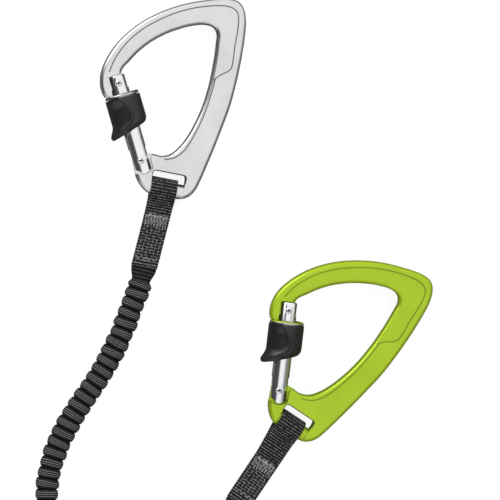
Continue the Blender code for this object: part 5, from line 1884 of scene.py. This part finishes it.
def soft_case(point):
    """Where a point of the pouch's plain box lies on the filled case."""
    limits = [half - POUCH_ROUND for half in POUCH_HALF]
    core = Vector([min(max(c, -limit), limit) for c, limit in zip(point, limits)])
    moved = core + (point - core).normalized() * POUCH_ROUND
    side, end, high = (moved[k] / POUCH_HALF[k] for k in range(3))
    raised = (high + 1) / 2
    dented = DENT * abs(noise.noise(moved * DENT_SCALE)) * (1 - end**6)
    moved.z -= (CROWN * side**2 + END_SAG * end**4 + dented) * raised
    moved.x -= (END_NARROWING * end**4 + dented) * side * raised
    return moved


def gridded_box(half, cells):
    """A box round the origin, with each side cut into cells."""
    bm = bmesh.new()
    bmesh.ops.create_cube(bm, size=1.0)
    for axis, count in enumerate(cells):
        lengthwise = []
        for edge in bm.edges:
            first, last = (vert.co for vert in edge.verts)
            if abs(last[axis] - first[axis]) > SQUARE_ON:
                lengthwise.append(edge)
        bmesh.ops.subdivide_edges(bm, edges=lengthwise, cuts=count - 1, use_grid_fill=True)
    bmesh.ops.scale(bm, verts=bm.verts, vec=half * 2)
    return bm


def lay_out(bm):
    """Box mapping in millimetres: each face reads the two directions that it lies along."""
    uv = bm.loops.layers.uv.new("UVMap")
    bm.normal_update()
    for face in bm.faces:
        facing = [abs(part) for part in face.normal]
        skipped = facing.index(max(facing))
        kept = [axis for axis in range(3) if axis != skipped]
        for loop in face.loops:
            loop[uv].uv = [loop.vert.co[axis] / MM for axis in kept]


def add_case(name, bm, replaced, wall):
    """A piece of the pouch's cloth, with its thickness inside the skin."""
    mesh = to_mesh(bm, name, smooth_angle=CASE_SHARP)
    piece = add_piece(name, mesh, [POUCH_CLOTH], "lanyard", replaced, "pouch_cloth")
    thicken(piece, wall, -1.0)


def make_pouch():
    bm = gridded_box(POUCH_HALF, POUCH_CELLS)
    lay_out(bm)
    open_faces = []
    for face in bm.faces:
        middle = face.calc_center_median()
        for end, (wide, low, high) in ((1, MOUTH), (-1, TAIL_MOUTH)):
            at_end = face.normal.y * end > SQUARE_ON
            if at_end and abs(middle.x) < wide and low < middle.z < high:
                open_faces.append(face)
    bmesh.ops.delete(bm, geom=open_faces, context="FACES")
    for vert in bm.verts:
        vert.co = soft_case(vert.co)
    bmesh.ops.translate(bm, verts=bm.verts, vec=POUCH_MIDDLE)
    bmesh.ops.recalc_face_normals(bm, faces=bm.faces)
    add_case("sewn_pouch", bm, ["absorber_pouch"], POUCH_WALL)


make_pouch()
print("pouch made")

# %% [markdown]
# Piping covers the seam round the top and the bottom. A flap closes the case for
# inspection. It is one more layer on top, with a round front edge and a line of stitches.

# %% Piping and flap
PIPING_RADIUS = 0.9 * MM
PIPING_IN = 0.4 * MM
PIPING_STEPS = 36
FLAP_HALF = 26.0 * MM
FLAP_BACK = 59.0 * MM
FLAP_FRONT = -18.0 * MM
FLAP_LIFT = 0.3 * MM
FLAP_CLOTH = 1.0 * MM
FLAP_COLUMNS = 26
FLAP_ROWS = 36
FLAP_CORNERS = 0.35
FLAP_HEM = 2.6 * MM
HEM_STITCH = (0.2, 0.85)
HEM_STITCHES = (((0, 0), (0, 1), 26), ((0, 1), (1, 1), 20), ((1, 1), (1, 0), 26), ((1, 0), (0, 0), 18))


def seam_path(height):
    half_x, half_y, half_z = POUCH_HALF
    corners = [(half_x, -half_y), (half_x, half_y), (-half_x, half_y), (-half_x, -half_y)]
    points = []
    for first, last in zip(corners, corners[1:] + corners[:1]):
        for share in np.linspace(0, 1, PIPING_STEPS, endpoint=False):
            flat = Vector(first).lerp(Vector(last), share)
            on_case = soft_case(Vector((flat.x, flat.y, height * half_z)))
            points.append(on_case - on_case.normalized() * PIPING_IN + POUCH_MIDDLE)
    return [*points, points[0]]


def on_flap(along, across, above):
    """A point over the flap, from its distance along the pouch and across it."""
    flat = soft_case(Vector((across, along, POUCH_HALF.z)))
    return flat + Vector((0, 0, FLAP_LIFT + FLAP_CLOTH + above)) + POUCH_MIDDLE


def flap_point(across, along, inset=0.0):
    """Distances along and across the pouch from shares of the flap, whose front is round."""
    back, front = FLAP_BACK - inset, FLAP_FRONT + inset
    side = (across - 0.5) * 2
    reach = front + (FLAP_HALF - inset) * FLAP_CORNERS * abs(side) ** 3.0
    return back + (reach - back) * along, side * (FLAP_HALF - inset)


def make_flap():
    def place(across, along):
        return on_flap(*flap_point(across, along), 0.0)

    wide, long = 2 * FLAP_HALF, FLAP_BACK - FLAP_FRONT
    bm = grid_mesh(FLAP_COLUMNS, FLAP_ROWS, wide, long, place)
    bm.normal_update()
    if sum(face.normal.z for face in bm.faces) < 0:
        bmesh.ops.reverse_faces(bm, faces=bm.faces)
    add_case("pouch_flap", bm, [], FLAP_CLOTH)


def sew_hem():
    hem = []
    for start, stop, count in HEM_STITCHES:
        for index in range(count):
            ends = []
            for share in ((index + part) / count for part in HEM_STITCH):
                at = [start[k] + (stop[k] - start[k]) * share for k in range(2)]
                ends.append(flap_point(*at, FLAP_HEM))
            hem.append(stitch(on_flap, *ends, STITCH_RISE))
    sew("flap_hem", hem, FINE_RADIUS, [])


make_flap()
sew_hem()
piping = thread_mesh("pouch_piping", [seam_path(height) for height in (1, -1)], PIPING_RADIUS)
add_piece("pouch_piping", piping, [PIPING], "lanyard", [], "pouch_cloth")
print("piping and flap made")

# %% [markdown]
# ## Tie-in loop and arm ends
#
# The loop ties to the harness. It is a strap on its edge, sewn to itself, whose ends run
# into the pouch. A rubber keeper holds its throat together. The arms enter the pouch at
# its other end as flat webbing folded double.

# %% Tie-in loop
LOOP_RADIUS = 17.0 * MM
LOOP_THICKNESS = 2.2 * MM
LOOP_ANGLE = math.radians(72.0)
LOOP_WIDTH = 26.0 * MM
LOOP_LIFT = 1.9 * MM
KEEPER_SEAT = 4.62 * MM
KEEPER_LENGTH = 9.0 * MM
KEEPER_WALL = 1.2 * MM
TAIL_ROOM = 16.7 * MM
LOOP_TACK_WIDTH = 20.0 * MM
LOOP_TACK_LEGS = 20
FINE_STRAY = 0.2 * MM


def throat():
    """How far from the loop's centre its two layers lie flat together."""
    half_tail = LOOP_THICKNESS + STITCH_GAP / 2
    outside = LOOP_RADIUS + LOOP_THICKNESS
    rest = (outside * math.sin(LOOP_ANGLE) - half_tail) * math.tan(LOOP_ANGLE)
    return outside * math.cos(LOOP_ANGLE) + rest


THROAT = throat()
LOOP_REACH = THROAT + 2 * KEEPER_SEAT + KEEPER_LENGTH
LOOP_CENTRE = POUCH_END + Vector((0, -2 * POUCH_HALF.y - LOOP_REACH, 0))


def on_loop(along, aside, across):
    lift = LOOP_LIFT * smooth_step(along, LOOP_RADIUS, LOOP_RADIUS / math.cos(LOOP_ANGLE))
    height = lift + (across / LOOP_WIDTH + 0.5) * (LOOP_WIDTH - lift)
    return LOOP_CENTRE + Vector((-aside, along, height))


def lay_loop(along, aside, across, _):
    return on_loop(along, aside, across)


def loop_cloth(side):
    """One outer face of the loop's throat, for its stitches."""
    face = LOOP_THICKNESS + STITCH_GAP / 2

    def on_cloth(along, across, above):
        return on_loop(along, side * (face + above), across)

    return on_cloth


loop_line = strap_line(LOOP_RADIUS, LOOP_THICKNESS, LOOP_ANGLE, LOOP_REACH + TAIL_ROOM)
make_strap("harness_loop", loop_line, LOOP_WIDTH, LOOP_THICKNESS, lay_loop, ["tie_in_loop"])
low, high = THROAT + MM, THROAT + KEEPER_SEAT - MM
loop_tack = []
for side in (1, -1):
    loop_tack += zigzag(loop_cloth(side), low, high, LOOP_TACK_WIDTH, LOOP_TACK_LEGS, FINE_STRAY)
sew("loop_tack", loop_tack, FINE_RADIUS, [])

# %% Rubber bands
BAND_ROWS = (
    (-0.5, 0.6), (-0.47, 1.0), (-0.37, 1.0), (-0.34, 0.7), (-0.1, 0.7), (-0.07, 1.0),
    (0.07, 1.0), (0.1, 0.7), (0.34, 0.7), (0.37, 1.0), (0.47, 1.0), (0.5, 0.6), (0.5, 0.0),
    (-0.5, 0.0),
)
BAND_CORNER_STEPS = 6
BAND_EDGES = 12
TIE_WALL = 1.2 * MM
TIE_CORNER = 1.8 * MM


def rubber_band(name, opening, corner, wall, length, middle, replaced):
    """A moulded band with three raised ribs, round an opening of a width and height."""
    width, height = opening
    bm = bmesh.new()
    rings = []
    for share, grow in BAND_ROWS:
        wider, rounder = 2 * wall * grow, corner + wall * grow
        sizes = (width + wider, height + wider, rounder)
        outline = rounded_rectangle(*sizes, (0, 0), BAND_CORNER_STEPS)
        verts = [bm.verts.new(middle + Vector((x, length * share, z))) for x, z in outline]
        rings.append([bm.edges.new(pair) for pair in zip(verts, verts[1:] + verts[:1])])
    for first, last in zip(rings, rings[1:] + rings[:1]):
        bmesh.ops.bridge_loops(bm, edges=first + last)
    bmesh.ops.recalc_face_normals(bm, faces=bm.faces)
    band = add_piece(name, to_mesh(bm, name), [RUBBER], "lanyard", replaced, "black_rubber")
    soften(band, wall / BAND_EDGES, 2)
    return band


keeper_middle = (0, THROAT + KEEPER_SEAT + KEEPER_LENGTH / 2, (LOOP_LIFT + LOOP_WIDTH) / 2)
rubber_band(
    "throat_keeper",
    (2 * (LOOP_THICKNESS + SEAT_GAP) + STITCH_GAP, LOOP_WIDTH - LOOP_LIFT + 2 * SEAT_GAP),
    SEAT_GAP,
    KEEPER_WALL,
    KEEPER_LENGTH,
    LOOP_CENTRE + Vector(keeper_middle),
    ["loop_keeper"],
)
for name, lies in LIES.items():
    (x, waist), _ = lies["hank"]
    width = 2 * RUN_SPACING + ARM_WIDTH + 2 * SEAT_GAP
    height = ARM_THICKNESS + 2 * SEAT_GAP
    middle = TABLE_SHIFT + Vector((x, waist, height / 2 + TIE_WALL))
    opening, tied = (width, height), [f"{name}_hank_tie"]
    tie = f"{name}_rubber_tie"
    rubber_band(tie, opening, TIE_CORNER, TIE_WALL, TIE_WIDTH, middle, tied)
print("keeper and ties made")

# %% Arm ends in the pouch
SEWN_THICKNESS = 2 * WEBBING_THICKNESS + STITCH_GAP
END_TACK = (2.0 * MM, 5.6 * MM)
END_TACK_LEGS = 16


def end_line(inside, outside):
    """The middle line of webbing folded double, whose fold is at the outer end."""
    turn_at = outside - SEAT_GAP - SEWN_THICKNESS / 2
    above = (WEBBING_THICKNESS + STITCH_GAP) / 2
    steps = (0.0, 0.25, 0.5, 0.75, 1.0)
    line = [(inside + (turn_at - inside) * share, above) for share in steps]
    line += [(turn_at + above * math.cos(a), above * math.sin(a)) for a in (1.0, 0.5, 0.0)]
    return [(y, z, 0.0) for y, z in line] + [(y, -z, 0.0) for y, z in reversed(line[:-1])]


def make_end(name, lies):
    centre, arm_end = lies["from_hank"][-1]

    def lay_end(along, above, across, _):
        return TABLE_SHIFT + Vector((centre + across, along, FLAT + above))

    def end_cloth(along, across, above):
        return lay_end(along, SEWN_THICKNESS / 2 + above, across, 0.0)

    line = end_line(POUCH_END.y - TABLE_SHIFT.y - PACK_INSET + SEAT_GAP, arm_end)
    replaced = [f"{name}_arm_end_webbing"]
    make_strap(f"{name}_folded_end", line, WEBBING_WIDTH, WEBBING_THICKNESS, lay_end, replaced)
    low, high = (arm_end - back for back in reversed(END_TACK))
    tack = zigzag(end_cloth, low, high, LOW_WIDTH, END_TACK_LEGS, FINE_STRAY)
    sew(f"{name}_end_tack", tack, FINE_RADIUS, [])


for name, lies in LIES.items():
    make_end(name, lies)
print("arm ends made")

# %% [markdown]
# ## Finishes for the pieces that keep their shape
#
# The stop clips and plungers sit inside the gates. Their engineering shapes are right,
# so they only get their finish.

# %% Finishes for kept pieces
for name in LIES:
    for node in ("gate_plunger", "sleeve_stop_clip"):
        kept = nodes[f"{name}_{node}"].data.materials
        kept.clear()
        kept.append(STEEL)
print("kept pieces finished")

for name, (arm, path, length) in arms.items():
    tuple(path[0])
    [tuple(point) for point in path]

# %% [markdown]
# ## Table and light
#
# The lanyard lies on a white table under soft light. The room is brightest overhead and
# darker at the horizon, and darkest on the left, which draws the dark bands on polished
# metal. The floor shows full white to the camera and still takes a soft shadow.

# %% White table
WHITE = (1.0, 1.0, 1.0, 1.0)
TABLE_HALF = 20.0
TABLE_GAP = 0.2 * MM
TABLE_GREY = (0.18, 0.18, 0.18, 1.0)
floor = bmesh.new()
bmesh.ops.create_grid(floor, x_segments=1, y_segments=1, size=TABLE_HALF)
bmesh.ops.translate(floor, verts=floor.verts, vec=(0, 0, -TABLE_GAP))
table = object_from("table", plain_mesh(floor, "table"))
finish = Finish("white_table", 0.9)
rays = finish.node("LightPath", {}).outputs
seen = finish.math("MAXIMUM", rays["Is Camera Ray"], rays["Is Transmission Ray"])
finish.set("Base Color", TABLE_GREY)
finish.set("Specular IOR Level", 0.0)
finish.set("Emission Color", WHITE)
finish.set("Emission Strength", finish.times(seen, 0.90))
table.data.materials.append(finish.material)
print("table ready")

# %% Room light
world = bpy.data.worlds.new("studio")
bpy.context.scene.world = world
world.use_nodes = True
world.node_tree.nodes.clear()
room = Network(world.node_tree)
ray = room.split(room.node("TexCoord", {}).outputs["Generated"])
dome = room.ease(ray["Z"], 0.02, 0.45, 0.75, 1.10)
left = room.ease(ray["X"], -0.20, -0.50, 0.0, 0.93)
sideways = room.math("ABSOLUTE", room.plus(ray["Y"], 0.08), 0.0)
left_panel = room.times(left, room.ease(sideways, 0.34, 0.5, 1.0, 0.0))
lower_right = room.plus(room.times(ray["X"], 0.72), room.times(ray["Y"], -0.69))
right_panel = room.ease(lower_right, 0.45, 0.8, 0.0, 0.75)
dark = room.math("MAXIMUM", left_panel, right_panel)
strength = room.times(dome, room.math("SUBTRACT", 1.0, dark))
lit = room.node("Background", {"Color": WHITE, "Strength": strength})
white = room.node("Background", {"Color": WHITE, "Strength": 1.0})
rays = room.node("LightPath", {}).outputs
seen = room.math("MAXIMUM", rays["Is Camera Ray"], rays["Is Transmission Ray"])
choices = {"Fac": seen, 1: lit.outputs["Background"], 2: white.outputs["Background"]}
choose = room.node("MixShader", choices)
room.node("OutputWorld", {"Surface": choose.outputs["Shader"]})
print("room ready")

# %% Soft lamp from the upper left
LAMP_SIZE = 0.9
LAMP_POWER = 11.0
LAMP_PLACE = (-0.95, 1.35, 0.75)
LAMP_AIM = Vector((0, 0.2, 0))
lamp_data = bpy.data.lights.new("soft_lamp", "AREA")
lamp_data.shape = "DISK"
lamp_data.size = LAMP_SIZE
lamp_data.energy = LAMP_POWER
lamp = object_from("soft_lamp", lamp_data)
lamp.location = LAMP_PLACE
aim = LAMP_AIM - lamp.location
lamp.rotation_euler = aim.to_track_quat("-Z", "Y").to_euler()
bpy.context.scene.view_settings.view_transform = "Standard"
print("lamp ready")
